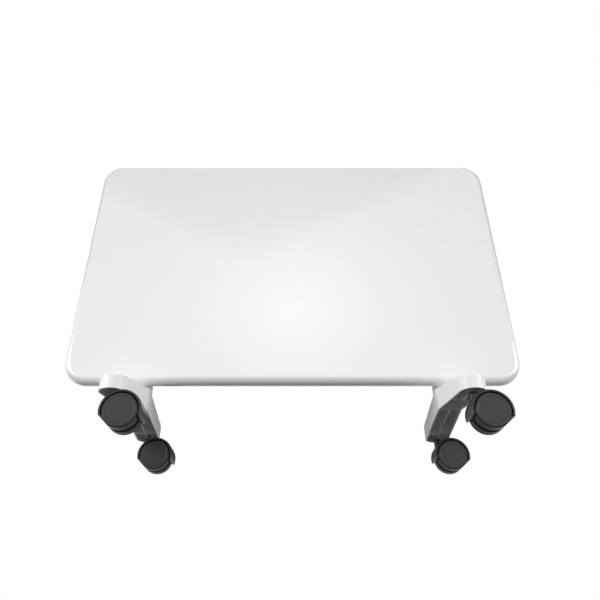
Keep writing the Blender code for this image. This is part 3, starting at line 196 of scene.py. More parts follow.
def add_floor():
    """A square sheet at Z = 0 that can be seen from above only."""
    mesh = bpy.data.meshes.new("floor")
    half = FLOOR_SIZE / 2
    corners = [(-half, -half, 0.0), (half, -half, 0.0), (half, half, 0.0), (-half, half, 0.0)]
    mesh.from_pydata(corners, [], [(0, 1, 2, 3)])
    floor = in_scene("floor", mesh)
    made, tree, shader = start_material("matt_floor_paint", FLOOR_COLOUR, FLOOR_ROUGHNESS)
    place = add_node(tree, "ShaderNodeTexCoord").outputs["Object"]
    distance = add_node(tree, "ShaderNodeVectorMath", {0: place}, operation="LENGTH").outputs["Value"]
    outer = ranged(tree, distance, source=FLOOR_BLEND, interpolation_type="SMOOTHSTEP")
    even = add_node(tree, "ShaderNodeEmission", {"Color": linear(FLOOR_COLOUR)})
    blend = add_node(tree, "ShaderNodeMixShader", {0: outer, 1: shader.outputs["BSDF"],
                                                   2: even.outputs["Emission"]})
    underside = add_node(tree, "ShaderNodeNewGeometry").outputs["Backfacing"]
    clear = add_node(tree, "ShaderNodeBsdfTransparent")
    mixed = add_node(tree, "ShaderNodeMixShader", {0: underside, 1: blend.outputs["Shader"],
                                                   2: clear.outputs["BSDF"]})
    tree.links.new(mixed.outputs["Shader"], tree.nodes["Material Output"].inputs["Surface"])
    mesh.materials.append(made)
    floor.visible_diffuse = False
    floor.visible_glossy = False


add_floor()
print("floor", FLOOR_SIZE, "m across")

# %% [markdown]
# The world is white to the eye and dimmer as a source of light, which leaves the lamps
# some room to shape the surfaces. The glossy panel also mirrors the room in front of it:
# in the photograph that is one wide soft glow, under the two slanted edges of a darker
# ceiling. Both are painted on the world, for mirrored rays that go forwards only. A place
# there is measured across and up on a plane one unit in front of the panel.

# %% World
AMBIENT = 0.42
BELOW_FALL = 2.2
GLOW_PLACE = (0.005, 0.55)
GLOW_CORE = 0.06
GLOW_FALL = 5.0
GLOW_STRENGTH = 4.0
CEILING_CORNER = (-0.0945, 0.6876)
CEILING_SLOPES = (-0.5954, 0.5448)
CEILING_SOFTNESS = 0.02


def do_sum(tree, operation, first, second=0.0, third=0.0):
    """One step of arithmetic on node outputs and plain numbers."""
    return add_node(tree, "ShaderNodeMath", {0: first, 1: second, 2: third},
                    operation=operation).outputs["Value"]


def seen_directly(tree):
    """1 for what the eye, a mirror or glass sees, and 0 for light that falls on things."""
    path = add_node(tree, "ShaderNodeLightPath")
    seen = do_sum(tree, "MAXIMUM", path.outputs["Is Camera Ray"], path.outputs["Is Glossy Ray"])
    return do_sum(tree, "MAXIMUM", seen, path.outputs["Is Transmission Ray"])


def mirrored_room(tree):
    """The room's brightness for a direction: white, plus the glow, less the ceiling's shade.

    The glow is strength exp(fall (core - sqrt(r^2 + core^2))) at a distance r from its
    place. The ceiling starts above the higher of two lines through its corner.
    """
    direction = add_node(tree, "ShaderNodeTexCoord").outputs["Generated"]
    parts = add_node(tree, "ShaderNodeSeparateXYZ", {"Vector": direction})
    forwards = do_sum(tree, "MAXIMUM", do_sum(tree, "MULTIPLY", parts.outputs["Y"], -1.0), 0.001)
    across = do_sum(tree, "DIVIDE", parts.outputs["X"], forwards)
    up = do_sum(tree, "DIVIDE", parts.outputs["Z"], forwards)
    offsets = [do_sum(tree, "SUBTRACT", value, place) for value, place in zip((across, up), GLOW_PLACE)]
    squares = [do_sum(tree, "POWER", do_sum(tree, "ABSOLUTE", offset), 2.0) for offset in offsets]
    square = do_sum(tree, "ADD", do_sum(tree, "ADD", *squares), GLOW_CORE ** 2)
    past_core = do_sum(tree, "SUBTRACT", GLOW_CORE, do_sum(tree, "SQRT", square))
    glow = do_sum(tree, "EXPONENT", do_sum(tree, "MULTIPLY", past_core, GLOW_FALL))
    glow = do_sum(tree, "MULTIPLY", glow, GLOW_STRENGTH)
    from_corner = do_sum(tree, "SUBTRACT", across, CEILING_CORNER[0])
    lines = [do_sum(tree, "MULTIPLY_ADD", from_corner, slope, CEILING_CORNER[1])
             for slope in CEILING_SLOPES]
    edge = do_sum(tree, "SUBTRACT", up, do_sum(tree, "MAXIMUM", *lines))
    ceiling = ranged(tree, edge, source=(-CEILING_SOFTNESS, CEILING_SOFTNESS),
                     interpolation_type="SMOOTHSTEP")
    return do_sum(tree, "SUBTRACT", do_sum(tree, "ADD", glow, 1.0), ceiling)


def ambient_level(tree):
    """Even light from above. Below the horizon, where z < 0, it falls as (1 + z) to a power."""
    direction = add_node(tree, "ShaderNodeTexCoord").outputs["Generated"]
    height = add_node(tree, "ShaderNodeSeparateXYZ", {"Vector": direction}).outputs["Z"]
    rise = do_sum(tree, "MAXIMUM", do_sum(tree, "ADD", do_sum(tree, "MINIMUM", height), 1.0), 0.0)
    return do_sum(tree, "MULTIPLY", do_sum(tree, "POWER", rise, BELOW_FALL), AMBIENT)


def light_world():
    """White to the eye, the room to a mirror, and dimmer for light that falls on things."""
    world = bpy.data.worlds.new("studio")
    bpy.context.scene.world = world
    world.use_nodes = True
    tree = world.node_tree
    path = add_node(tree, "ShaderNodeLightPath")
    level = ranged(tree, seen_directly(tree), ambient_level(tree), 1.0)
    mirrored = do_sum(tree, "MULTIPLY", path.outputs["Is Glossy Ray"],
                      do_sum(tree, "SUBTRACT", mirrored_room(tree), 1.0))
    strength = do_sum(tree, "ADD", level, mirrored)
    background = tree.nodes["Background"]
    background.inputs["Color"].default_value = (1.0, 1.0, 1.0, 1.0)
    tree.links.new(strength, background.inputs["Strength"])


light_world()
print("ambient light", AMBIENT)

# %% [markdown]
# Soft boxes are area lamps. A lamp's power is worked out from how bright its face should
# look next to white, because that is what a white surface near it takes on: a face of
# area A that looks L times as bright as white needs a power of pi A L. Each row below has
# a box's name, place, width, height and brightness, and all of them face the heater.

# %% Lamps
SOFT_BOXES = (("left_box", (-1.84, -1.2, 0.52), 1.6, 0.9, 6.5),
              ("right_box", (1.84, -1.2, 0.52), 1.6, 0.9, 5.4),
              ("high_box", (0.0, 0.35, 2.5), 2.0, 1.4, 2.5),
              ("back_box", (0.0, 1.8, 1.6), 2.2, 1.6, 1.2))
HEATER_MIDDLE = (0.0, 0.0, 0.25)

for name, place, width, height, brightness in SOFT_BOXES:
    data = bpy.data.lights.new(name, "AREA")
    data.shape = "RECTANGLE"
    data.size = width
    data.size_y = height
    data.energy = math.pi * width * height * brightness
    lamp = in_scene(name, data)
    lamp.location = place
    facing = Vector(HEATER_MIDDLE) - Vector(place)
    lamp.rotation_euler = facing.to_track_quat("-Z", "Y").to_euler()
print(len(SOFT_BOXES), "soft boxes")

# %% [markdown]
# The front panel is pressed steel with a stoved enamel coat. Enamel is smooth and hard, so
# it shows crisp lights on its rounded edge, yet its body spreads light softly. A clear
# coat over a rougher base gives both. A faint ripple, a few millimetres across and about a
# micrometre deep, is the orange peel that sprayed enamel has.

# %% Enamel and powder coat
ORANGE_PEEL = 5.0 * MM
PEEL_DEPTH = 0.0015 * MM
POWDER_GRAIN = 0.9 * MM
POWDER_DEPTH = 0.008 * MM


def stoved_enamel():
    """White enamel: a rough white base under a hard, nearly mirror-smooth coat."""
    made, tree, shader = start_material("stoved_enamel", "#EEEEEE", 0.34, Coat_Weight=1.0,
                                        Coat_Roughness=0.04)
    add_grain(tree, shader, ORANGE_PEEL, PEEL_DEPTH, detail=1.0)
    return made


def powder_coat():
    """Satin white powder coat: fine grain that breaks up every light."""
    made, tree, shader = start_material("powder_coat", "#E6E6E5", 0.48)
    noise = add_grain(tree, shader, POWDER_GRAIN, POWDER_DEPTH)
    vary_roughness(tree, shader, noise, 0.42, 0.54)
    return made


PANEL_ENAMEL = stoved_enamel()
CASING_COAT = powder_coat()
print("paints:", PANEL_ENAMEL.name, CASING_COAT.name)

# %% [markdown]
# The feet are moulded polypropylene, a slightly waxy white plastic that lets a little
# light in. The casters are charcoal nylon, moulded with a fine spark-eroded texture, with
# painted shade on their treads. The controls are a harder plastic, and the knob is white.

# %% Plastics
MOULD_GRAIN = 0.5 * MM
MOULD_DEPTH = 0.004 * MM
NYLON_COLOUR = "#323232"
NYLON_SHINE = 0.25
# Painted shade on the tread: a darker colour and a weaker reflection than the rest of the wheel, standing
# in for the dim light and dark reflection that it gets from below.
TREAD_SHADE_COLOUR = "#1A1A1A"
TREAD_SHADE_SHINE = 0.06


def moulded(name, hex_colour, smooth, dull, grain, depth, **sockets):
    """Moulded plastic whose fine texture moves the roughness between smooth and dull."""
    made, tree, shader = start_material(name, hex_colour, (smooth + dull) / 2, **sockets)
    vary_roughness(tree, shader, add_grain(tree, shader, grain, depth), smooth, dull)
    return made


def wheel_nylon():
    """Charcoal nylon, with painted shade on the tread: darker and less reflective where a mesh marks the
    tread.
    """
    made = moulded("moulded_nylon", NYLON_COLOUR, 0.28, 0.38, MOULD_GRAIN, MOULD_DEPTH)
    tree = made.node_tree
    shader = tree.nodes["Principled BSDF"]
    # The tread mark sets the painted shade: a darker base colour and a lower specular level.
    painted_tread_shade = add_node(tree, "ShaderNodeAttribute", attribute_name="tread").outputs["Fac"]
    paint = add_node(tree, "ShaderNodeMix", {0: painted_tread_shade, 6: linear(NYLON_COLOUR), 7: linear(TREAD_SHADE_COLOUR)},
                     data_type="RGBA")
    tree.links.new(paint.outputs[2], shader.inputs["Base Color"])
    shine = ranged(tree, painted_tread_shade, NYLON_SHINE, TREAD_SHADE_SHINE)
    tree.links.new(shine, shader.inputs["Specular IOR Level"])
    return made


FOOT_PLASTIC = moulded("moulded_polypropylene", "#F8F8F8", 0.22, 0.32, MOULD_GRAIN, MOULD_DEPTH)
CASTER_NYLON = wheel_nylon()
CONTROL_PLASTIC = moulded("moulded_polycarbonate", "#3A3B3D", 0.36, 0.46, MOULD_GRAIN, MOULD_DEPTH)
KNOB_PLASTIC = moulded("moulded_abs", "#E8E8E6", 0.26, 0.34, MOULD_GRAIN, MOULD_DEPTH)
PHENOLIC = moulded("pressed_phenolic", "#C8C2B2", 0.50, 0.62, MOULD_GRAIN, MOULD_DEPTH)
STEATITE = moulded("fired_steatite", "#E3DFD2", 0.60, 0.75, MOULD_GRAIN, MOULD_DEPTH)
WIRE_COVER = moulded("silicone_rubber", "#8E2F28", 0.45, 0.55, MOULD_GRAIN, MOULD_DEPTH)
PRINT_INK = moulded("pad_printing_ink", "#E4E4E2", 0.50, 0.60, MOULD_GRAIN, MOULD_DEPTH)
print("seven plastics and ceramics, and one ink")

# %% [markdown]
# Three metals are left. The stems and screws are bright zinc plate with fine turning
# marks. Galvanised sheet shows spangle, crystals about 6 mm across that differ a little in
# tone. Extruded aluminium has long faint die lines along its length.

# %% Metals
SPANGLE = 6.0 * MM
DIE_LINE = 0.4 * MM
DIE_LINE_DEPTH = 0.004 * MM
TURNING_MARK = 0.25 * MM
TURNING_DEPTH = 0.002 * MM


def bright_plate():
    """Zinc-plated steel, turned: fine rings across the length."""
    made, tree, shader = start_material("bright_zinc_plate", "#E2E2E0", 0.16, 1.0)
    add_grain(tree, shader, TURNING_MARK, TURNING_DEPTH, stretch=(0.05, 0.05, 1.0))
    return made


def galvanised():
    """Hot-dip galvanised sheet: cells of slightly unlike grey."""
    made, tree, shader = start_material("galvanised_sheet", "#B9BBBD", 0.38, 1.0)
    place = add_node(tree, "ShaderNodeTexCoord").outputs["Object"]
    cells = add_node(tree, "ShaderNodeTexVoronoi", {"Vector": place, "Scale": 1 / SPANGLE})
    tone = add_node(tree, "ShaderNodeSeparateColor", {"Color": cells.outputs["Color"]})
    mixed = add_node(tree, "ShaderNodeMix", {0: tone.outputs["Red"], 6: linear("#A6A9AC"),
                                             7: linear("#C6C8CA")}, data_type="RGBA")
    tree.links.new(mixed.outputs[2], shader.inputs["Base Color"])
    tree.links.new(ranged(tree, tone.outputs["Green"], 0.30, 0.46), shader.inputs["Roughness"])
    return made


def extruded():
    """Extruded aluminium: die lines that run along X."""
    made, tree, shader = start_material("extruded_aluminium", "#C9CACB", 0.34, 1.0)
    add_grain(tree, shader, DIE_LINE, DIE_LINE_DEPTH, stretch=(0.01, 1.0, 1.0))
    return made


BRIGHT_STEEL = bright_plate()
ZINC_SHEET = galvanised()
FIN_ALUMINIUM = extruded()
print("three metals")

# %% [markdown]
# New surfaces are grids of points. A grid has rows and columns, its columns close on
# themselves, and its first and last rows are drawn in to a line or a point where the
# solid is closed. Once the doubles are merged, Blender can turn every face outwards.

# %% Helpers for shapes
MERGE = 0.0005 * MM
EDGE_HOLD = 0.15 * MM
SMALL_EDGE_HOLD = 0.08 * MM
FINE_EDGE_HOLD = 0.05 * MM


def rounded(corners, radii, steps=6, hold=EDGE_HOLD):
    """A line of straight runs whose corners are arcs, as rows of two numbers.

    An arc of radius r that turns by t starts r tan(t / 2) before its corner. After it has
    turned by a, it has gone r sin(a) along the first run and r (1 - cos(a)) to its inner
    side. A point is kept a little beyond each end of the arc, which keeps flats flat when
    the surface is shaded smooth.
    """
    corners = np.asarray(corners, dtype=float)
    rows = []
    for i, radius in enumerate(radii):
        corner = corners[i]
        if radius <= 0:
            rows.append(corner[None])
            continue
        along = corner - corners[i - 1]
        along = along / np.hypot(*along)
        onward = corners[(i + 1) % len(corners)] - corner
        onward = onward / np.hypot(*onward)
        turn = math.atan2(along[0] * onward[1] - along[1] * onward[0], along @ onward)
        inner = np.array([-along[1], along[0]]) * np.sign(turn)
        start = corner - along * radius * math.tan(abs(turn) / 2)
        a = np.linspace(0.0, abs(turn), steps + 1)[:, None]
        arc = start + radius * (inner * (1 - np.cos(a)) + along * np.sin(a))
        rows += [start[None] - along * hold, arc, arc[-1:] + onward * hold]
    return np.concatenate(rows)


def turned(profile, steps=96):
    """Rows of (radius, height) turned about Z: x = radius cos(a), y = radius sin(a)."""
    profile = np.asarray(profile, dtype=float)
    a = np.linspace(0.0, 2 * math.pi, steps, endpoint=False)
    height = np.broadcast_to(profile[:, 1:2], (len(profile), steps))
    return np.stack([profile[:, 0:1] * np.cos(a), profile[:, 0:1] * np.sin(a), height], axis=-1)


def placed(grid, centre, axis="Z"):
    """A grid moved to its centre, with its own Z turned to the named axis."""
    order = {"Z": (0, 1, 2), "X": (2, 0, 1), "Y": (1, 2, 0)}[axis]
    return grid[..., order] + np.asarray(centre)


def framed(half_x, half_z, corner, profile, steps=14):
    """A round-cornered rectangle carried through rows of (inset, depth along Y).

    At an inset d the corner's radius is corner - d about a fixed centre. Past that the
    corner is sharp and moves in with the edges. At d = half_z the rectangle is a line.
    """
    profile = np.asarray(profile, dtype=float)
    inset = profile[:, 0:1]
    radius = np.maximum(corner - inset, 0.0)
    quarter = np.repeat(np.arange(4), steps + 1)
    a = (quarter + np.tile(np.linspace(0.0, 1.0, steps + 1), 4)) * math.pi / 2
    side_x = np.where((quarter == 0) | (quarter == 3), 1.0, -1.0)
    side_z = np.where(quarter < 2, 1.0, -1.0)
    x = side_x * (half_x - np.maximum(corner, inset)) + radius * np.cos(a)
    z = side_z * (half_z - np.maximum(corner, inset)) + radius * np.sin(a)
    return np.stack([x, np.broadcast_to(profile[:, 1:2], x.shape), z], axis=-1)


def prism(outline, low, high, axis="Z"):
    """A convex outline between two heights, each end a fan about the outline's middle."""
    middle = np.broadcast_to(outline.mean(axis=0), outline.shape)
    rows = np.stack([middle, outline, outline, middle])
    heights = np.array([low, low, high, high])[:, None, None]
    grid = np.concatenate([rows, np.broadcast_to(heights, rows.shape[:2] + (1,))], axis=-1)
    return placed(grid, (0.0, 0.0, 0.0), axis)


def mesh_of(name, grids):
    """One mesh from grids of points, with its doubles merged and its faces turned out."""
    points, faces, first = [], [], 0
    for grid in grids:
        rows, columns = grid.shape[:2]
        spot = np.arange(rows * columns).reshape(rows, columns) + first
        after = np.roll(spot, -1, axis=1)
        quads = np.stack([spot[:-1], after[:-1], after[1:], spot[1:]], axis=-1)
        faces.append(quads.reshape(-1, 4))
        points.append(grid.reshape(-1, 3))
        first += rows * columns
    mesh = bpy.data.meshes.new(name)
    mesh.from_pydata(np.concatenate(points).tolist(), [], np.concatenate(faces).tolist())
    shape = bmesh.new()
    shape.from_mesh(mesh)
    bmesh.ops.remove_doubles(shape, verts=shape.verts, dist=MERGE)
    bmesh.ops.recalc_face_normals(shape, faces=shape.faces)
    shape.to_mesh(mesh)
    shape.free()
    return mesh


SHARP_ANGLE = 38.0


def add_piece(name, mesh, finish, body, slot, *nodes):
    """Make the mesh a piece that rides on a body, in place of the named solids."""
    piece = in_scene(name, mesh)
    mesh.materials.clear()
    mesh.materials.append(finish)
    mesh.shade_smooth()
    mesh.set_sharp_from_angle(angle=math.radians(SHARP_ANGLE))
    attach(piece, body)
    if nodes:
        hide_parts(*nodes)
    return piece


def carve(mesh, name, steps):
    """Join or cut meshes one after another, and return the result as a mesh.

    steps is a row of (operation, mesh), where the operation is UNION or DIFFERENCE.
    """
    holder = in_scene(name, mesh)
    tools = []
    for number, (operation, tool_mesh) in enumerate(steps):
        tools.append(in_scene(f"{name}_tool_{number}", tool_mesh))
        step = holder.modifiers.new(f"step_{number}", "BOOLEAN")
        step.operation = operation
        step.solver = "EXACT"
        step.use_self = True
        step.object = tools[-1]
    bpy.context.view_layer.update()
    evaluated = holder.evaluated_get(bpy.context.evaluated_depsgraph_get())
    result = bpy.data.meshes.new_from_object(evaluated)
    result.name = name
    for made in [holder] + tools:
        bpy.data.objects.remove(made)
    return result


def cut(name, grids, cutters):
    """One mesh from grids, with other grids cut out of it in one step."""
    return carve(mesh_of(name, grids), name, [("DIFFERENCE", mesh_of("cutters", cutters))])


def steady(piece):
    """Weight the normals by face area, which keeps the flats flat after a cut."""
    weighted = piece.modifiers.new("weighted_normals", "WEIGHTED_NORMAL")
    weighted.keep_sharp = True
    weighted.weight = 100
    return piece


print("shape helpers ready")

# %% [markdown]
# The front panel is a shallow tray. Its outline is a rectangle with 35 mm corners, and its
# section is one line: the face, the rolled edge, a short rim with a smooth hem, and the
# same way back inside. Carrying that line round the outline makes the whole shell at once.

# %% Front panel
PANEL_CORNER = 35.0 * MM
PANEL_EDGE = 9.5 * MM
PANEL_WALL = 1.2 * MM
# A hem's rounding, as a share of the wall: a little less than half, so that a flat is left.
HEM_SHARE = 0.45


def tray(box, flat, rim, wall, bend, corner, bend_steps, corner_steps):
    """A shell open at the rim: rows of (inset, Y) from the flat's middle, round the rim, and back."""
    half = (box[1] - box[0]) / 2
    inner = flat + math.copysign(wall, rim - flat)
    corners = [(half[2], flat), (0.0, flat), (0.0, rim), (wall, rim), (wall, inner), (half[2], inner)]
    hem = wall * HEM_SHARE
    section = rounded(corners, [0, bend, hem, hem, bend - wall, 0], bend_steps)
    return placed(framed(half[0], half[2], corner, section, corner_steps), (0.0, 0.0, box[:, 2].mean()))


shell = tray(PANEL, FACE_Y, PANEL[1, 1], PANEL_WALL, PANEL_EDGE, PANEL_CORNER, 14, 24)
panel_mesh = mesh_of("panel_shell", [shell])
add_piece("panel_shell", panel_mesh, PANEL_ENAMEL, "heater", "panel_enamel", "front_panel")
print("panel_shell:", len(panel_mesh.polygons), "faces")

# %% [markdown]
# The rear casing is one sheet folded into a box with an open front. Its back edges have a
# 6 mm bend. The same function makes it, this time with the flat at the back. Slots let
# cool air in below, and two more hook on to a wall bracket. Every hole is cut in one
# Boolean step, from one mesh that holds all the cutters.

# %% Rear casing
CASING_WALL = 1.0 * MM
CASING_BEND = 6.0 * MM
CASING_CORNER = 1.5 * MM
INLET_SLOT = (30.0 * MM, 5.0 * MM)
INLET_PITCH = (38.0 * MM, 14.0 * MM)
INLET_COUNT = (9, 3)
HANGING_SLOT = (30.0 * MM, 8.0 * MM)
GLAND_HOLE = 4.9 * MM
SHAFT_HOLE = 3.3 * MM
SCREW_HOLE = 2.1 * MM
SCREW_NUMBERS = range(1, 5)
SWITCH_LIP = 2.0 * MM
GRILLE_LIP = 5.0 * MM
FIT = 0.3 * MM
THROUGH = 3.0 * MM


def middle_of(node):
    """The middle of a solid's box."""
    return span(node).mean(axis=0)


def stadium(length, width, steps=10):
    """A slot's outline: two half circles joined by straight sides."""
    a = np.linspace(-math.pi / 2, math.pi / 2, steps + 1)
    right = np.stack([(length - width) / 2 + width / 2 * np.cos(a), width / 2 * np.sin(a)], axis=-1)
    return np.concatenate([right, -right])


def circle(radius, steps=32):
    """Points (radius cos(a), radius sin(a)) round a circle."""
    a = np.linspace(0.0, 2 * math.pi, steps, endpoint=False)
    return radius * np.stack([np.cos(a), np.sin(a)], axis=-1)


def block(low, high):
    """A plain block between two corners, as a grid."""
    low, high = np.asarray(low), np.asarray(high)
    outline = np.array([[low[0], low[1]], [high[0], low[1]], [high[0], high[1]], [low[0], high[1]]])
    return prism(outline, low[2], high[2])


def through(place):
    """A short way before and behind a wall, where a cutter starts and ends."""
    return place - THROUGH, place + THROUGH


def bore(radius, node, axis, low, high, steps=32):
    """A round cutter on a solid's middle, between two places on an axis."""
    across = {"X": [1, 2], "Y": [2, 0], "Z": [0, 1]}[axis]
    return prism(circle(radius, steps) + middle_of(node)[across], low, high, axis)


def switch_space(low_x, high_x):
    """The opening for the switch: its box, less the lip that rests outside."""
    low, high = span("switch_housing")
    inward = np.array([0.0, SWITCH_LIP - FIT, SWITCH_LIP - FIT])
    return block((low + inward) * [0, 1, 1] + [low_x, 0, 0],
                 (high - inward) * [0, 1, 1] + [high_x, 0, 0])


def casing_cuts():
    """Cutters for the inlet and hanging slots, the outlet, and what passes through a wall."""
    bottom, top = CASING[:, 2]
    back, side = CASING[1, 1], CASING[1, 0]
    columns, rows = [(np.arange(count) - (count - 1) / 2) * pitch
                     for count, pitch in zip(INLET_COUNT, INLET_PITCH)]
    middle_y = CASING[:, 1].mean()
    cuts = [prism(stadium(*INLET_SLOT) + [x, middle_y + y], *through(bottom))
            for x in columns for y in rows]
    for opening in frame["record"]["physics"]["openings"]:
        if opening["name"].startswith("hanging_slot"):
            place = np.mean(opening["box_m"], axis=0)
            outline = (stadium(*HANGING_SLOT) + place[[0, 2]])[:, ::-1]
            cuts.append(prism(outline, *through(back), "Y"))
    low, high = span("outlet_grille")
    lip = np.array([GRILLE_LIP - FIT, GRILLE_LIP - FIT, 0.0])
    start, end = through(top)
    cuts += [block((low + lip) * [1, 1, 0] + [0, 0, start], (high - lip) * [1, 1, 0] + [0, 0, end]),
             bore(GLAND_HOLE, "cord_gland", "Y", *through(back)),
             bore(SHAFT_HOLE, "thermostat_knob", "X", *through(side)),
             switch_space(*through(side))]
    for number in SCREW_NUMBERS:
        screw = f"casing_screw_{number}"
        reach = math.copysign(side, middle_of(screw)[0])
        cuts += [bore(SCREW_HOLE, screw, "X", *through(reach)),
                 bore(SCREW_HOLE, f"leg_screw_{number}", "Z", *through(bottom))]
    return cuts


shell = tray(CASING, CASING[1, 1], CASING[0, 1], CASING_WALL, CASING_BEND, CASING_CORNER, 10, 6)
casing_mesh = cut("casing_shell", [shell], casing_cuts())
steady(add_piece("casing_shell", casing_mesh, CASING_COAT, "heater", "casing_enamel", "rear_casing"))
print("casing_shell:", len(casing_mesh.polygons), "faces")

# %% [markdown]
# Warm air leaves through the grille on top, which drops into the casing and rests on its
# lip. Its vanes slant forwards, so that it throws the warm air into the room. Slanted
# windows are cut from a block, and a small bevel eases every edge, as on a moulded grille.

# %% Outlet grille
GRILLE_THICKNESS = 3.0 * MM
GRILLE_CORNER = 3.0 * MM
GRILLE_BAR = 4.0 * MM
GRILLE_VANE = 3.0 * MM
GRILLE_COUNT = (6, 3)
GRILLE_SLANT = math.radians(28.0)
GRILLE_EASE = 0.35 * MM
GRILLE_ROUNDS = (1.0 * MM, 0.4 * MM)
WINDOW_ROUND_SHARE = 0.55


def eased(piece, width, segments=2, angle=40.0):
    """Round every edge sharper than the angle."""
    bevel = piece.modifiers.new("eased_edges", "BEVEL")
    bevel.width = width
    bevel.segments = segments
    bevel.limit_method = "ANGLE"
    bevel.angle_limit = math.radians(angle)
    bevel.use_clamp_overlap = False
    bevel.miter_outer = "MITER_ARC"
    return piece


def lipped(half, face, back, thickness, lip, rounds):
    """A section of a flat lip from the face down, and a body under it that is set in by the lip."""
    under = face - thickness
    corners = [(half, face), (0.0, face), (0.0, under), (lip, under), (lip, back), (half, back)]
    return rounded(corners, [0, rounds[0], 0, 0, rounds[1], 0], steps=5)


def grille_body():
    """The lip and the skirt under it, carried round a rectangle."""
    low, high = span("outlet_grille")
    size = (high - low) / 2
    section = lipped(size[1], high[2], low[2], GRILLE_THICKNESS, GRILLE_LIP, GRILLE_ROUNDS)
    grid = framed(size[0], size[1], GRILLE_CORNER, section, steps=8)[..., (0, 2, 1)]
    return placed(grid, (0.0, (low[1] + high[1]) / 2, 0.0))


def grille_windows():
    """Round-cornered windows, each leaning by the slant about its own middle."""
    low, high = span("outlet_grille")
    skirt = (high - low) / 2 - GRILLE_LIP
    pitch_x = (2 * skirt[0] - GRILLE_BAR) / GRILLE_COUNT[0]
    pitch_y = (2 * skirt[1] - 2 * GRILLE_BAR) / GRILLE_COUNT[1]
    half_x, half_y = (pitch_x - GRILLE_BAR) / 2, (pitch_y - GRILLE_VANE) / 2
    corner = half_y * WINDOW_ROUND_SHARE
    corners = [(half_x, -half_y), (half_x, half_y), (-half_x, half_y), (-half_x, -half_y)]
    outline = rounded(corners, [corner] * 4, steps=5)
    upright = prism(outline, low[2] - high[2], high[2] - low[2])
    lean = np.array([[1, 0, 0], [0, math.cos(GRILLE_SLANT), math.sin(GRILLE_SLANT)],
                     [0, -math.sin(GRILLE_SLANT), math.cos(GRILLE_SLANT)]])
    middle = (low + high) / 2
    windows = []
    for column in range(GRILLE_COUNT[0]):
        for row in range(GRILLE_COUNT[1]):
            place = middle + [(column - (GRILLE_COUNT[0] - 1) / 2) * pitch_x,
                              (row - (GRILLE_COUNT[1] - 1) / 2) * pitch_y, 0.0]
            windows.append(upright @ lean + place)
    return windows


grille_mesh = cut("outlet_vanes", [grille_body()], grille_windows())
steady(eased(add_piece("outlet_vanes", grille_mesh, CASING_COAT, "heater", "casing_enamel",
                       "outlet_grille"), GRILLE_EASE))
print("outlet_vanes:", len(grille_mesh.polygons), "faces")

# %% [markdown]
# Each foot is a moulded channel that bends by about 17 degrees under the panel's face. Its
# top climbs from the nose and the heel to a neck behind the panel. Seen from below it is
# hollow, with thin ribs, cross webs, and a boss for each caster stem. Its shell is one
# section carried round a band about the foot's centre line, whose upper half follows the
# climbing top. The neck, ribs and bosses are joined to it, and the holes are cut last.

# %% Foot shapes
FOOT_END_RADIUS = 17.5 * MM
FOOT_BEND_HALF_WIDTH = 16.0 * MM
FOOT_NOSE = PANEL_BOTTOM - 17.5 * MM
FOOT_CREST = PANEL_BOTTOM - 6.0 * MM
FOOT_HEEL = PANEL_BOTTOM - 14.0 * MM
FOOT_WALL = 2.5 * MM
FOOT_CEILING = 4.0 * MM
FOOT_RIB = 1.8 * MM
FOOT_BEND = (12.7 * MM, 5.0 * MM)
FOOT_BEND_RADIUS = 28.0 * MM
FOOT_TOP_EDGE = 1.8 * MM
FOOT_RIM_EDGE = 0.5 * MM
FOOT_INNER_EDGE = 1.0 * MM
FOOT_WEB_TO_STEM = 27.5 * MM
FOOT_INNER_HALF = FOOT_BEND_HALF_WIDTH - FOOT_WALL / 2
RIB_SINK = 1.5 * MM
BOSS_RADIUS = 6.2 * MM
BOSS_EDGE = 0.6 * MM
BOSS_END = PANEL_BOTTOM - 29.5 * MM
BORE_RADIUS = 4.4 * MM
BORE_TOP = FOOT_NOSE - 1.0 * MM
NECK_FRONT = FACE_Y + 14.0 * MM
NECK_BACK = NECK_FRONT + 22.0 * MM
NECK_INSET = 0.6 * MM
NECK_WALL = 3.0 * MM
NECK_CEILING = 4.0 * MM
NECK_ROUND = 6.0 * MM
NECK_BACK_CORNER = 0.6 * MM
NECK_SINK = 2.0 * MM
NECK_SCREW_DEPTH = 6.0 * MM


def foot_corners(side):
    """The foot's centre line in plan: front stem, bend, rear stem."""
    front = middle_of(f"stem_front_{side}")[:2]
    rear = middle_of(f"stem_rear_{side}")[:2]
    inboard = -math.copysign(FOOT_BEND[0], front[0])
    bend = np.array([front[0] + inboard, FACE_Y + FOOT_BEND[1]])
    return front, bend, rear


def foot_top(y):
    """The top's height at a depth y: straight climbs from nose and heel to a level crest."""
    low, high = span("leg_left")[:, 1]
    return np.interp(y, [low, NECK_FRONT, NECK_BACK, high], [FOOT_NOSE, FOOT_CREST, FOOT_CREST, FOOT_HEEL])


def follow_top(grid):
    """Lift a shape made below a level crest, so that its upper part follows the foot's top."""
    lifted = grid[..., 2] > BOSS_END
    grid[..., 2] += lifted * (foot_top(grid[..., 1]) - FOOT_CREST)
    return grid


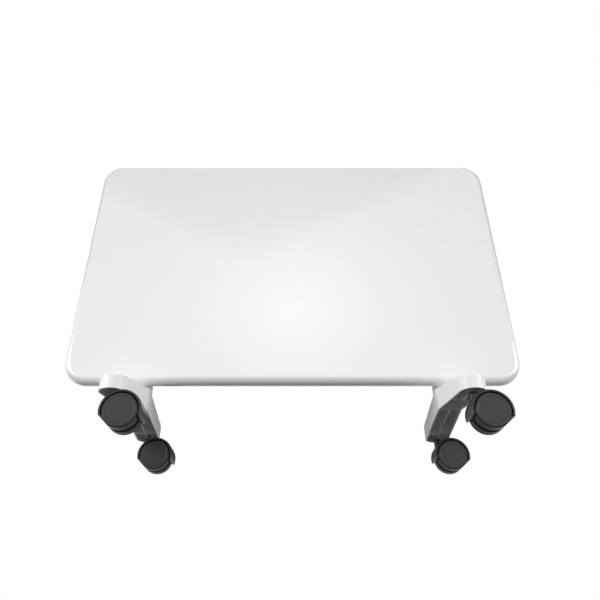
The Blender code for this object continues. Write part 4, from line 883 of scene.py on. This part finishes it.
def foot_shell(side, rim):
    """A section carried round a band: line + across * half width, with a half circle at each end.

    The half width falls evenly from each end to the bend.
    """
    front, bend, rear = foot_corners(side)
    line = rounded([front, bend, rear], [0, FOOT_BEND_RADIUS, 0], steps=14)
    share = np.linspace(0.0, 1.0, 14)[1:-1, None]
    line = np.concatenate([line[:1], line[0] + (line[1] - line[0]) * share, line[1:-1],
                           line[-2] + (line[-1] - line[-2]) * share, line[-1:]])
    along = np.gradient(line, axis=0)
    along /= np.hypot(along[:, 0], along[:, 1])[:, None]
    across = np.stack([-along[:, 1], along[:, 0]], axis=-1)
    half = np.interp(line[:, 1], [front[1], bend[1], rear[1]],
                     [FOOT_END_RADIUS, FOOT_BEND_HALF_WIDTH, FOOT_END_RADIUS])[:, None]
    t = np.linspace(0.0, math.pi, 38)[1:-1, None]
    rear_cap = along[-1] * np.sin(t) + across[-1] * np.cos(t)
    front_cap = -along[0] * np.sin(t) - across[0] * np.cos(t)
    spine, half = [np.concatenate([rows, np.repeat(rows[-1:], len(t), 0), rows[::-1],
                                   np.repeat(rows[:1], len(t), 0)]) for rows in (line, half)]
    outward = np.concatenate([across, rear_cap, -across[::-1], front_cap])
    ceiling = FOOT_CREST - FOOT_CEILING
    corners = [(FOOT_END_RADIUS, FOOT_CREST), (0.0, FOOT_CREST), (0.0, rim), (FOOT_WALL, rim),
               (FOOT_WALL, ceiling), (FOOT_END_RADIUS, ceiling)]
    radii = [0, FOOT_TOP_EDGE, FOOT_RIM_EDGE, FOOT_RIM_EDGE, FOOT_INNER_EDGE, 0]
    section = rounded(corners, radii, steps=6)
    plan = spine + outward * np.maximum(half - section[:, 0][:, None, None], 0.0)
    height = np.broadcast_to(section[:, 1][:, None, None], plan.shape[:2] + (1,))
    return follow_top(np.concatenate([plan, height], axis=-1))


def rib(start, end, rim):
    """An upright rib from start to end in plan, with rounded lower edges, sunk into the ceiling."""
    along = (end - start) / np.hypot(*(end - start))
    across = np.array([-along[1], along[0]])
    half = FOOT_RIB / 2
    high = FOOT_CREST - FOOT_CEILING + RIB_SINK
    corners = [(-half, rim), (half, rim), (half, high), (-half, high)]
    section = rounded(corners, [half / 2, half / 2, 0, 0], steps=4, hold=FINE_EDGE_HOLD)
    middle = np.broadcast_to(section.mean(axis=0), section.shape)
    share = np.concatenate([[0.0], np.linspace(0.0, 1.0, 25), [1.0]])[:, None, None]
    rows = np.concatenate([middle[None], np.broadcast_to(section, (25,) + section.shape), middle[None]])
    plan = start + (end - start) * share + rows[..., 0:1] * across
    return follow_top(np.concatenate([plan, rows[..., 1:2]], axis=-1))


def neck_outline(side, inset):
    """The neck in plan: the stretch of the band just behind the panel, round in front."""
    front, bend, rear = foot_corners(side)
    ends = []
    for y in (NECK_FRONT + inset, NECK_BACK - inset):
        x = bend[0] + (rear[0] - bend[0]) * (y - bend[1]) / (rear[1] - bend[1])
        half = FOOT_BEND_HALF_WIDTH - inset
        ends.append([(x - half, y), (x + half, y)])
    radii = [NECK_ROUND - inset] * 2 + [NECK_BACK_CORNER] * 2
    return rounded([ends[0][0], ends[0][1], ends[1][1], ends[1][0]], radii, steps=6)


print("foot shapes ready; the nose is", round((FOOT_NOSE - span("leg_left")[0, 2]) / MM, 1), "mm high")

# %% Feet


def foot_mesh(side):
    """One foot: shell, neck, ribs and bosses joined, then the hollows cut."""
    low, high = span(f"leg_{side}")
    rim, neck_top = low[2], high[2]
    front, bend, rear = foot_corners(side)
    reach = np.array([FOOT_INNER_HALF, 0.0])
    added = [rib(bend, rear, rim), rib(bend - reach, bend + reach, rim)]
    cuts = [prism(neck_outline(side, NECK_WALL + NECK_INSET), FOOT_CREST - FOOT_CEILING - NECK_SINK,
                  neck_top - NECK_CEILING)]
    for end, stem in (("front", front), ("rear", rear)):
        along = (stem - bend) / np.hypot(*(stem - bend))
        across = np.array([-along[1], along[0]]) * FOOT_INNER_HALF
        web = stem - along * FOOT_WEB_TO_STEM
        added.append(rib(web - across, web + across, rim))
        root = float(foot_top(stem[1])) - FOOT_CEILING + RIB_SINK
        boss = rounded([(0.0, BOSS_END), (BOSS_RADIUS, BOSS_END), (BOSS_RADIUS, root), (0.0, root)],
                       [0, BOSS_EDGE, 0, 0])
        added.append(placed(turned(boss), (*stem, 0.0)))
        cuts.append(bore(BORE_RADIUS, f"stem_{end}_{side}", "Z", rim - THROUGH, BORE_TOP, 48))
    added.append(rib(front + (bend - front) * FOOT_WEB_TO_STEM / np.hypot(*(bend - front)), front, rim))
    for screw in [f"leg_screw_{number}" for number in SCREW_NUMBERS]:
        if middle_of(screw)[0] * front[0] > 0:
            cuts.append(bore(SCREW_HOLE, screw, "Z", neck_top - NECK_SCREW_DEPTH, neck_top + THROUGH))
    neck = prism(neck_outline(side, NECK_INSET), FOOT_CREST - NECK_SINK, neck_top)
    steps = [("UNION", mesh_of("foot_neck", [neck])), ("UNION", mesh_of("foot_ribs", added)),
             ("DIFFERENCE", mesh_of("foot_cuts", cuts))]
    return carve(mesh_of("foot_shell", [foot_shell(side, rim)]), f"foot_{side}", steps)


for side in ("left", "right"):
    made = foot_mesh(side)
    steady(add_piece(f"foot_{side}", made, FOOT_PLASTIC, "heater", "leg_moulding", f"leg_{side}"))
    print(f"foot_{side}:", len(made.polygons), "faces")

# %% [markdown]
# A caster has two wheels on one axle, either side of a thin web, and a hood that covers
# them from above. The hood is a rounded strip swept along an arc. A wheel is a turned
# section: a dished face, a rounded shoulder, the tread, and the hollow behind the face.

# %% Caster shapes
HOOD_WALL = 2.8 * MM
HOOD_WEB = 6.0 * MM
HOOD_ENDS = (-18.0, 194.0)
HOOD_EASE = 0.5 * MM
HOOD_EDGES = (0.4 * MM, 1.3 * MM)
HOOD_STEPS = 90
COLLAR_RADIUS = 5.3 * MM
COLLAR_EDGE = 0.5 * MM
SOCKET_RADIUS = 3.8 * MM
SOCKET_DEPTH = 5.2 * MM
SOCKET_EDGE = 0.3 * MM
TAIL_BORE = 1.9 * MM
TAIL_BORE_DEPTH = 11.3 * MM
TAIL_BORE_OVERLAP = 1.0 * MM
AXLE_BORE = 2.3 * MM


def hood_sweep(axle, radius, width):
    """A rounded strip swept by angle a: x = r cos(a), z = r sin(a), closed at both ends.

    The first and last rows shrink towards the strip's middle, which rounds and closes it.
    """
    inner = radius - HOOD_WALL
    corners = [(inner, -width / 2), (radius, -width / 2), (radius, width / 2), (inner, width / 2)]
    inner_edge, outer_edge = HOOD_EDGES
    section = rounded(corners, [inner_edge, outer_edge, outer_edge, inner_edge], steps=6)
    centre = (radius + inner) / 2
    turn = np.linspace(0.0, math.pi / 2, 5)
    inset = np.concatenate([[HOOD_WALL / 2], HOOD_EASE * (1 - np.sin(turn))])
    forward = np.concatenate([[0.0], HOOD_EASE * (1 - np.cos(turn)) / radius])
    low, high = np.radians(HOOD_ENDS)
    between = np.linspace(low + forward[-1], high - forward[-1], HOOD_STEPS)[1:-1]
    angles = np.concatenate([low + forward, between, (high - forward)[::-1]])
    shrink = np.concatenate([inset, np.zeros(len(between)), inset[::-1]])[:, None]
    scale_r = 1 - shrink / (HOOD_WALL / 2)
    scale_y = 1 - shrink / (width / 2) * (shrink < HOOD_WALL / 2) - (shrink >= HOOD_WALL / 2)
    r = centre + (section[:, 0] - centre) * scale_r
    y = section[:, 1] * scale_y
    a = angles[:, None]
    return placed(np.stack([r * np.cos(a), np.broadcast_to(y, r.shape), r * np.sin(a)], axis=-1), axle)


def hood_mesh(word, axle, stem):
    """The hood with its web and collar, and the stem's stepped socket."""
    low, high = span(f"hood_{word}")
    radius = high[0] - axle[0]
    width = high[1] - low[1]
    web_front, web_back = axle[1] - HOOD_WEB / 2, axle[1] + HOOD_WEB / 2
    a = np.radians(np.linspace(*HOOD_ENDS, 60))
    sector = (radius - HOOD_WALL / 2) * np.stack([np.sin(a), np.cos(a)], axis=-1)
    web = prism(sector + [axle[2], axle[0]], web_front, web_back, "Y")
    socket = high[2] - SOCKET_DEPTH
    corners = [(0.0, axle[2]), (COLLAR_RADIUS, axle[2]), (COLLAR_RADIUS, high[2]),
               (SOCKET_RADIUS, high[2]), (SOCKET_RADIUS, socket), (0.0, socket)]
    collar = placed(turned(rounded(corners, [0, 0, COLLAR_EDGE, SOCKET_EDGE, 0, 0]), 64), (*stem, 0.0))
    spaces = [bore(radius - HOOD_WALL, f"axle_{word}", "Y", *ends, 96)
              for ends in ((axle[1] - width, web_front), (web_back, axle[1] + width))]
    bores = [bore(TAIL_BORE, f"stem_{word}", "Z", socket - TAIL_BORE_DEPTH, socket + TAIL_BORE_OVERLAP),
             bore(AXLE_BORE, f"axle_{word}", "Y", low[1] - THROUGH, high[1] + THROUGH)]
    steps = [("UNION", mesh_of("web", [web])), ("UNION", cut("collar", [collar], spaces)),
             ("DIFFERENCE", mesh_of("bores", bores))]
    return carve(mesh_of("hood", [hood_sweep(axle, radius, width)]), f"caster_hood_{word}", steps)


DISH_DEPTH = 0.3 * MM
DISH_RADII = (17.4 * MM, 18.0 * MM)
WHEEL_WALL = 3.0 * MM
SHOULDER_RADIUS = 20.4 * MM
SHOULDER_DROP = 1.2 * MM
HUB_RADIUS = 4.5 * MM
TREAD_DEPTH = 0.7 * MM


def wheel_grid(radius, width):
    """Half of a wheel pair, turned: rows of (radius, height above the web's side)."""
    rim, face, hub, hole = radius - WHEEL_WALL, width - DISH_DEPTH, HUB_RADIUS, AXLE_BORE
    inside = face - WHEEL_WALL
    corners = [(0.0, face), (DISH_RADII[0], face), (DISH_RADII[1], width), (SHOULDER_RADIUS, width),
               (radius, width - SHOULDER_DROP), (radius, 0.0), (rim, 0.0), (rim, inside), (hub, inside),
               (hub, 0.0), (hole, 0.0), (hole, inside), (0.0, inside)]
    radii = np.array([0, 0.6, 0.6, 0.5, 0.6, 0.8, 0.3, 0.8, 0.5, 0.2, 0.2, 0, 0]) * MM
    return turned(rounded(corners, radii, steps=5, hold=SMALL_EDGE_HOLD), 128)


def mark_tread(mesh, axle, radius):
    """Write 1 on the points of the rolling surface, which gets painted shade, and 0 on the rest."""
    points = np.empty(len(mesh.vertices) * 3)
    mesh.vertices.foreach_get("co", points)
    reach = np.hypot(points[0::3] - axle[0], points[2::3] - axle[2])
    mark = mesh.attributes.new("tread", "FLOAT", "POINT")
    mark.data.foreach_set("value", (reach > radius - TREAD_DEPTH).astype(np.float32))


STEM_RADIUS = 3.5 * MM
TAIL_RADIUS = 1.6 * MM
TAIL_LENGTH = 11.0 * MM
RING_RADIUS = 4.1 * MM
RING_HALF = 1.0 * MM


def stem_grid(node):
    """The stepped pin that joins foot and caster, with its low retaining ring."""
    low, high = span(node)[:, 2]
    radius, tail, shoulder = STEM_RADIUS, TAIL_RADIUS, low + TAIL_LENGTH
    ring = (BOSS_END + high) / 2
    corners = [(0.0, high), (radius, high), (radius, ring + RING_HALF), (RING_RADIUS, ring),
               (radius, ring - RING_HALF), (radius, shoulder), (tail, shoulder), (tail, low), (0.0, low)]
    radii = np.array([0, 0.8, 0.3, 0.4, 0.3, 0.3, 0, 0.3, 0]) * MM
    return turned(rounded(corners, radii, hold=FINE_EDGE_HOLD), 64)


print("caster shapes ready")

# %% Casters
for end in ("front", "rear"):
    for side in ("left", "right"):
        word = f"{end}_{side}"
        stem = middle_of(f"stem_{word}")[:2]
        axle = middle_of(f"axle_{word}")
        made = hood_mesh(word, axle, stem)
        steady(add_piece(f"caster_hood_{word}", made, CASTER_NYLON, f"caster_{word}", "caster_nylon",
                         f"hood_{word}"))
        for way, half in ((-1, "front"), (1, "rear")):
            node = f"wheel_{word}_{half}"
            low, high = span(node)
            radius = (high[2] - low[2]) / 2
            inner = high[1] if way < 0 else low[1]
            grid = wheel_grid(radius, high[1] - low[1]) * [1.0, 1.0, way]
            made = mesh_of(node, [placed(grid, (axle[0], inner, axle[2]), "Y")])
            mark_tread(made, axle, radius)
            add_piece(f"caster_{node}", made, CASTER_NYLON, node, "caster_nylon", node)
        made = mesh_of("stem", [placed(stem_grid(f"stem_{word}"), (*stem, 0.0))])
        add_piece(f"stem_pin_{word}", made, BRIGHT_STEEL, "heater", "bright_steel", f"stem_{word}")
print("four casters")

# %% [markdown]
# The controls sit on the right side. Behind them is a dark plate with rounded edges. The
# knob's skirt has fine grips, so its radius follows a small wave as it goes round.

# %% Controls
BEZEL = span("control_bezel")
BEZEL_CORNER = 6.0 * MM
BEZEL_EDGES = (0.2 * MM, 1.2 * MM)
KNOB = span("thermostat_knob")
KNOB_CENTRE = KNOB.mean(axis=0)
KNOB_TAPER = 1.5 * MM
KNOB_WALL = 1.6 * MM
KNOB_HUB = 5.2 * MM
KNOB_GRIPS = 24
GRIP_DEPTH = 0.35 * MM
GRIP_FADES = (1.0 * MM, 2.0 * MM)
GRIP_MARGIN = 0.3 * MM
KNOB_POINTER = (3.0 * MM, 13.2 * MM)
POINTER_WIDTH = 1.6 * MM
POINTER_DEPTH = 0.6 * MM
POINTER_SINK = 0.05 * MM


def side_plate(box, corner, section, steps):
    """A plate that faces along X: a section of (inset, X) carried round the box's outline."""
    half = (box[1] - box[0]) / 2
    grid = framed(half[2], half[1], corner, section, steps)[..., (1, 2, 0)]
    return placed(grid, (0.0, box[:, 1].mean(), box[:, 2].mean()))


def bezel_grid():
    """The plate behind the knob and the switch, with its face's edge rounded."""
    half = (BEZEL[1, 1] - BEZEL[0, 1]) / 2
    back, face = BEZEL[:, 0]
    corners = [(half, back), (0.0, back), (0.0, face), (half, face)]
    return side_plate(BEZEL, BEZEL_CORNER, rounded(corners, [0, *BEZEL_EDGES, 0], steps=6), 12)


def knob_grid():
    """A turned cap, hollow behind. Its skirt dips by depth (1 - cos(grips a)) / 2 as it goes round."""
    height = KNOB[1, 0] - KNOB[0, 0]
    outer = (KNOB[1, 2] - KNOB[0, 2]) / 2
    top, wall, hub, hole = outer - KNOB_TAPER, KNOB_WALL, KNOB_HUB, SHAFT_HOLE
    ceiling = height - 2 * wall
    corners = [(0.0, height), (top, height), (outer, 0.0), (outer - wall, 0.0), (top - wall, ceiling),
               (hub, ceiling), (hub, 0.0), (hole, 0.0), (hole, height - wall), (0.0, height - wall)]
    profile = rounded(corners, np.array([0, 1.2, 0.3, 0.3, 0.5, 0.3, 0.2, 0.2, 0, 0]) * MM, steps=8)
    grid = turned(profile, KNOB_GRIPS * 12)
    a = np.linspace(0.0, 2 * math.pi, grid.shape[1], endpoint=False)
    rise, fall = GRIP_FADES
    on_skirt = (profile[:, 0] > top - GRIP_MARGIN) * np.clip((height - rise - profile[:, 1]) / fall, 0, 1)
    on_skirt = on_skirt * np.clip(profile[:, 1] / rise, 0, 1)
    wave = 1 - GRIP_DEPTH * on_skirt[:, None] * (1 - np.cos(KNOB_GRIPS * a)) / 2 / outer
    grid[..., :2] *= wave[..., None]
    return placed(grid, (KNOB[0, 0], KNOB[:, 1].mean(), KNOB[:, 2].mean()), "X")


def knob_groove(inset, bottom, top):
    """The pointer's groove: a slot's outline from near the middle to the edge, facing up at rest."""
    low, high = KNOB_POINTER
    outline = stadium(high - low - 2 * inset, POINTER_WIDTH - 2 * inset)[:, ::-1] * [1.0, -1.0]
    return prism(outline + [KNOB_CENTRE[1], KNOB_CENTRE[2] + (low + high) / 2], bottom, top, "X")


bezel_ends = BEZEL[0, 0] - THROUGH, BEZEL[1, 0] + THROUGH
bezel_mesh = cut("bezel_plate", [bezel_grid()],
                 [bore(SHAFT_HOLE, "thermostat_knob", "X", *bezel_ends), switch_space(*bezel_ends)])
steady(add_piece("bezel_plate", bezel_mesh, CONTROL_PLASTIC, "heater", "control_plastic",
                 "control_bezel"))
knob_top = KNOB[1, 0]
groove = knob_groove(0.0, knob_top - POINTER_DEPTH, knob_top + THROUGH)
steady(add_piece("knob_cap", cut("knob_cap", [knob_grid()], [groove]), KNOB_PLASTIC, "knob",
                 "knob_plastic", "thermostat_knob"))
pointer = knob_groove(POINTER_SINK, knob_top - POINTER_DEPTH - POINTER_SINK, knob_top - POINTER_DEPTH / 2)
add_piece("knob_pointer", mesh_of("knob_pointer", [pointer]), CONTROL_PLASTIC, "knob", "control_plastic")
print("bezel_plate, knob_cap and knob_pointer")

# %% [markdown]
# The switch is a framed well with a rocking key in it. The key's side view has a round
# base and a dished top. It is drawn level, turned by its rest angle about the hinge, and
# its ends are drawn in a little, which rounds the edges.

# %% Switch
SWITCH = span("switch_housing")
SWITCH_THICKNESS = 1.6 * MM
SWITCH_CORNER = 1.6 * MM
SWITCH_ROUNDS = (0.7 * MM, 0.4 * MM)
SWITCH_WELL = (6.1 * MM, 9.4 * MM, 5.6 * MM)
HINGE_SINK = 1.6 * MM
HINGE = SWITCH.mean(axis=0) * [0, 1, 1] + [SWITCH[1, 0] - HINGE_SINK, 0, 0]
HINGE_PIN = (1.0 * MM, 6.6 * MM)
HINGE_HOLE = (1.3 * MM, 6.9 * MM)
KEY_HALF_WIDTH = 5.8 * MM
KEY_END = 7.9 * MM
KEY_HEIGHTS = (-1.2 * MM, 4.6 * MM, 3.4 * MM)
KEY_BASE = 3.0 * MM
KEY_DISH_RADIUS = 40.0 * MM
KEY_EDGE = 0.5 * MM
KEY_TILT = math.radians(9.0)


def housing_mesh():
    """A thin lip on a deeper body, with the key's well and its two hinge holes cut out."""
    half = (SWITCH[1, 1] - SWITCH[0, 1]) / 2
    back, face = SWITCH[:, 0]
    section = lipped(half, face, back, SWITCH_THICKNESS, SWITCH_LIP, SWITCH_ROUNDS)
    body = side_plate(SWITCH, SWITCH_CORNER, section, 8)
    across, along, deep = SWITCH_WELL
    well = block(HINGE - [deep - HINGE_SINK, across, along], HINGE + [THROUGH, across, along])
    radius, reach = HINGE_HOLE
    hole = prism(circle(radius) + HINGE[[2, 0]], HINGE[1] - reach, HINGE[1] + reach, "Y")
    return carve(mesh_of("switch_frame", [body]), "switch_frame",
                 [("DIFFERENCE", mesh_of("well", [well])), ("DIFFERENCE", mesh_of("hinge_hole", [hole]))])


def key_outline():
    """The key seen from its side, level: length to the right, outwards up."""
    foot, reach, dish = KEY_HEIGHTS
    a = np.radians(np.linspace(200.0, 340.0, 15))
    base = KEY_BASE * np.stack([np.cos(a), np.sin(a)], axis=-1)
    corners = np.concatenate([base, [(KEY_END, foot), (KEY_END, reach), (0.0, dish), (-KEY_END, reach),
                                     (-KEY_END, foot)]])
    radii = np.concatenate([np.zeros(15), np.array([0.4, 0.8, KEY_DISH_RADIUS / MM, 0.8, 0.4]) * MM])
    return rounded(corners, radii, steps=8)


def tilted(length, outwards, across):
    """From the key's own length, height and width to the world, turned by the tilt t.

    x = height cos t + length sin t, and z = height sin t - length cos t.
    """
    x = outwards * math.cos(KEY_TILT) + length * math.sin(KEY_TILT)
    z = outwards * math.sin(KEY_TILT) - length * math.cos(KEY_TILT)
    return np.stack(np.broadcast_arrays(x, across, z), axis=-1) + HINGE


def key_mesh():
    """The outline carried across the key, with rounded ends, and the hinge pin through it."""
    outline = key_outline()
    middle = outline.mean(axis=0)
    t = np.linspace(0.0, math.pi / 2, 5)
    edge = KEY_EDGE * (1 - np.sin(t))
    inset = np.concatenate([[KEY_BASE], edge, edge[::-1], [KEY_BASE]])
    ends = KEY_HALF_WIDTH - KEY_EDGE * (1 - np.cos(t))
    across = np.concatenate([[-KEY_HALF_WIDTH], -ends, ends[::-1], [KEY_HALF_WIDTH]])[:, None]
    rows = middle + (outline - middle) * (1 - inset / KEY_BASE)[:, None, None]
    radius, reach = HINGE_PIN
    pin = prism(circle(radius) + HINGE[[2, 0]], HINGE[1] - reach, HINGE[1] + reach, "Y")
    body = mesh_of("switch_key", [tilted(rows[..., 0], rows[..., 1], across)])
    return carve(body, "switch_key", [("UNION", mesh_of("pin", [pin]))])


steady(add_piece("switch_frame", housing_mesh(), CONTROL_PLASTIC, "heater", "control_plastic",
                 "switch_housing"))
steady(add_piece("switch_key", key_mesh(), CONTROL_PLASTIC, "rocker", "control_plastic",
                 "switch_rocker"))
print("switch_frame and switch_key")

# %% [markdown]
# White print is laid on the plate and the key: ticks and plain numbers round the knob,
# and the usual line and ring for on and off. It is as thin as ink, and a hair of it is
# sunk in the plastic, so that no gap shows.

# %% Print
INK = 0.05 * MM
INK_SINK = 0.02 * MM
SIGN_SINK = 0.15 * MM
DIAL_START = -135.0
TICK_START = 16.8 * MM
TICK_SIZES = ((1.6 * MM, 0.5 * MM), (0.9 * MM, 0.35 * MM))
TICK_STEP = 22.5
TICK_COUNT = 13
NUMBER_RADIUS = 20.4 * MM
NUMBER_SIZE = 3.0 * MM
KEY_SIGN_PLACE = 4.6 * MM
KEY_SIGN_SIZES = (2.4 * MM, 0.5 * MM)


def on_dial(angle, radius):
    """The place at an angle clockwise from the top, as seen from the side."""
    a = math.radians(angle)
    return KNOB_CENTRE[1:] + radius * np.array([math.sin(a), math.cos(a)])


def dial_ticks():
    """Thirteen ticks over 270 degrees; every second one is longer."""
    ticks = []
    for number in range(TICK_COUNT):
        angle = math.radians(DIAL_START + number * TICK_STEP)
        length, width = TICK_SIZES[number % 2]
        out = np.array([math.sin(angle), math.cos(angle)])
        side = np.array([out[1], -out[0]]) * width / 2
        start = KNOB_CENTRE[1:] + out * TICK_START
        end = start + out * length
        outline = np.array([start - side, start + side, end + side, end - side])
        ticks.append(prism(outline, BEZEL[1, 0] - INK_SINK, BEZEL[1, 0] + INK, "X"))
    return ticks


def lettering(name, texts):
    """One mesh of printed texts, each given as (text, Y, Z), upright as seen from the side."""
    joined = bmesh.new()
    for text, y, z in texts:
        curve = bpy.data.curves.new(name, "FONT")
        curve.body = text
        curve.size = NUMBER_SIZE
        curve.align_x = "CENTER"
        curve.align_y = "CENTER"
        curve.extrude = (INK + INK_SINK) / 2
        holder = in_scene(name, curve)
        bpy.context.view_layer.update()
        glyph = bpy.data.meshes.new_from_object(holder.evaluated_get(bpy.context.evaluated_depsgraph_get()))
        face = BEZEL[1, 0] + (INK - INK_SINK) / 2
        glyph.transform(Matrix(((0, 0, 1, face), (1, 0, 0, y), (0, 1, 0, z), (0, 0, 0, 1))))
        joined.from_mesh(glyph)
        bpy.data.objects.remove(holder)
    mesh = bpy.data.meshes.new(name)
    joined.to_mesh(mesh)
    joined.free()
    return mesh


def key_signs():
    """A line at the key's raised end and a ring at its other end, on the dished top."""
    foot, reach, dish = KEY_HEIGHTS
    size, width = KEY_SIGN_SIZES
    slope = math.atan2(reach - dish, KEY_END)
    height = dish + KEY_SIGN_PLACE * math.tan(slope)
    half = size / 2
    bar = np.array([(-width / 2, -half), (width / 2, -half), (width / 2, half), (-width / 2, half)])
    line = prism(bar, -SIGN_SINK, INK)
    ring = turned([(half - width, -SIGN_SINK), (half, -SIGN_SINK), (half, INK), (half - width, INK),
                   (half - width, -SIGN_SINK)], 40)
    signs = []
    for grid, way in ((line, 1), (ring, -1)):
        length = way * (KEY_SIGN_PLACE - grid[..., 2] * math.sin(slope)) + grid[..., 0] * math.cos(slope)
        outwards = height + grid[..., 2] * math.cos(slope) + way * grid[..., 0] * math.sin(slope)
        signs.append(tilted(length, outwards, grid[..., 1]))
    return signs


numbers = [(str(n), *on_dial(DIAL_START + n * 2 * TICK_STEP, NUMBER_RADIUS))
           for n in range(TICK_COUNT // 2 + 1)]
add_piece("dial_ticks", mesh_of("dial_ticks", dial_ticks()), PRINT_INK, "heater", "knob_plastic")
add_piece("dial_numbers", lettering("dial_numbers", numbers), PRINT_INK, "heater", "knob_plastic")
add_piece("switch_signs", mesh_of("switch_signs", key_signs()), PRINT_INK, "rocker", "knob_plastic")
print("ticks, numbers and switch signs")

# %% [markdown]
# Eight pan-head screws hold the casing and the feet. A head is a turned section with a
# domed edge, and a slot is cut across it.

# %% Screws
SCREW_HEAD = (3.5 * MM, 2.2 * MM)
SCREW_SHANK = 1.8 * MM
SCREW_SLOT = (0.9 * MM, 0.8 * MM)


def screw_mesh(node, axis, way):
    """A slotted screw whose head looks along the axis (way 1) or against it (way -1)."""
    low, high = span(node)
    index = "XYZ".index(axis)
    radius, head = SCREW_HEAD
    tip = head - (high - low)[index]
    corners = [(0.0, head), (radius, head), (radius, 0.0), (SCREW_SHANK, 0.0), (SCREW_SHANK, tip),
               (0.0, tip)]
    radii = np.array([0, 1.3, 0.15, 0.1, 0.6, 0]) * MM
    body = turned(rounded(corners, radii, steps=8, hold=FINE_EDGE_HOLD), 48)
    width, depth = SCREW_SLOT
    slot = block((-2 * radius, -width / 2, head - depth), (2 * radius, width / 2, head + depth))
    place = middle_of(node)
    place[index] = high[index] - head if way > 0 else low[index] + head
    body, slot = [placed(grid * [1.0, 1.0, way], place, axis) for grid in (body, slot)]
    return cut(node, [body], [slot])


for number in SCREW_NUMBERS:
    outwards = math.copysign(1, middle_of(f"casing_screw_{number}")[0])
    for kind, axis, way in (("casing", "X", outwards), ("leg", "Z", -1)):
        node = f"{kind}_screw_{number}"
        steady(add_piece(f"slotted_{node}", screw_mesh(node, axis, way), BRIGHT_STEEL, "heater",
                         "bright_steel", node))
print("eight screws")

# %% [markdown]
# The cord enters through a bored bush in the back. It is a turned piece with a groove that
# the casing's sheet snaps into.

# %% Cord gland
GLAND = span("cord_gland")
GLAND_RADII = (9.0 * MM, 4.6 * MM, 6.2 * MM, 3.8 * MM)


def gland_grid():
    """A closed section turned: flange, groove, barrel and cord hole."""
    start, end = GLAND[:, 1]
    back = CASING[1, 1]
    inside = back - CASING_WALL - FIT
    flange, neck, barrel, hole = GLAND_RADII
    corners = [(flange, end), (flange, back + FIT), (neck, back + FIT), (neck, inside), (barrel, inside),
               (barrel, start), (hole, start), (hole, end)]
    radii = np.array([1.0, 0.4, 0, 0, 0.3, 0.4, 0.4, 0.8]) * MM
    section = rounded(corners, radii, steps=6, hold=SMALL_EDGE_HOLD)
    return turned(np.concatenate([section, section[:1]]), 80)


gland_middle = GLAND.mean(axis=0)
gland_mesh = mesh_of("gland_bush", [placed(gland_grid(), (gland_middle[0], 0.0, gland_middle[2]), "Y")])
add_piece("gland_bush", gland_mesh, CONTROL_PLASTIC, "heater", "control_plastic", "cord_gland")
print("gland_bush:", len(gland_mesh.polygons), "faces")

# %% [markdown]
# The solids that keep their own shape get their finish here, by the slot that the packed
# record gives each of them.

# %% Finishes for the solids that stay
FINISHES = {"panel_enamel": PANEL_ENAMEL, "casing_enamel": CASING_COAT, "leg_moulding": FOOT_PLASTIC,
            "caster_nylon": CASTER_NYLON, "control_plastic": CONTROL_PLASTIC, "knob_plastic": KNOB_PLASTIC,
            "phenolic": PHENOLIC, "steatite": STEATITE, "bright_steel": BRIGHT_STEEL,
            "zinc_sheet": ZINC_SHEET, "fin_aluminium": FIN_ALUMINIUM, "wire_silicone": WIRE_COVER}

for subpart in frame["record"]["subparts"]:
    solid = frame["nodes"][subpart["node"]]
    for material_slot in solid.material_slots:
        material_slot.material = FINISHES[subpart["material_slot"]]

# %% [markdown]
# The scene's view transform is set to Standard. The visual model must stay the size of the
# imported model.

# %% Colour management
bpy.context.scene.view_settings.view_transform = "Standard"
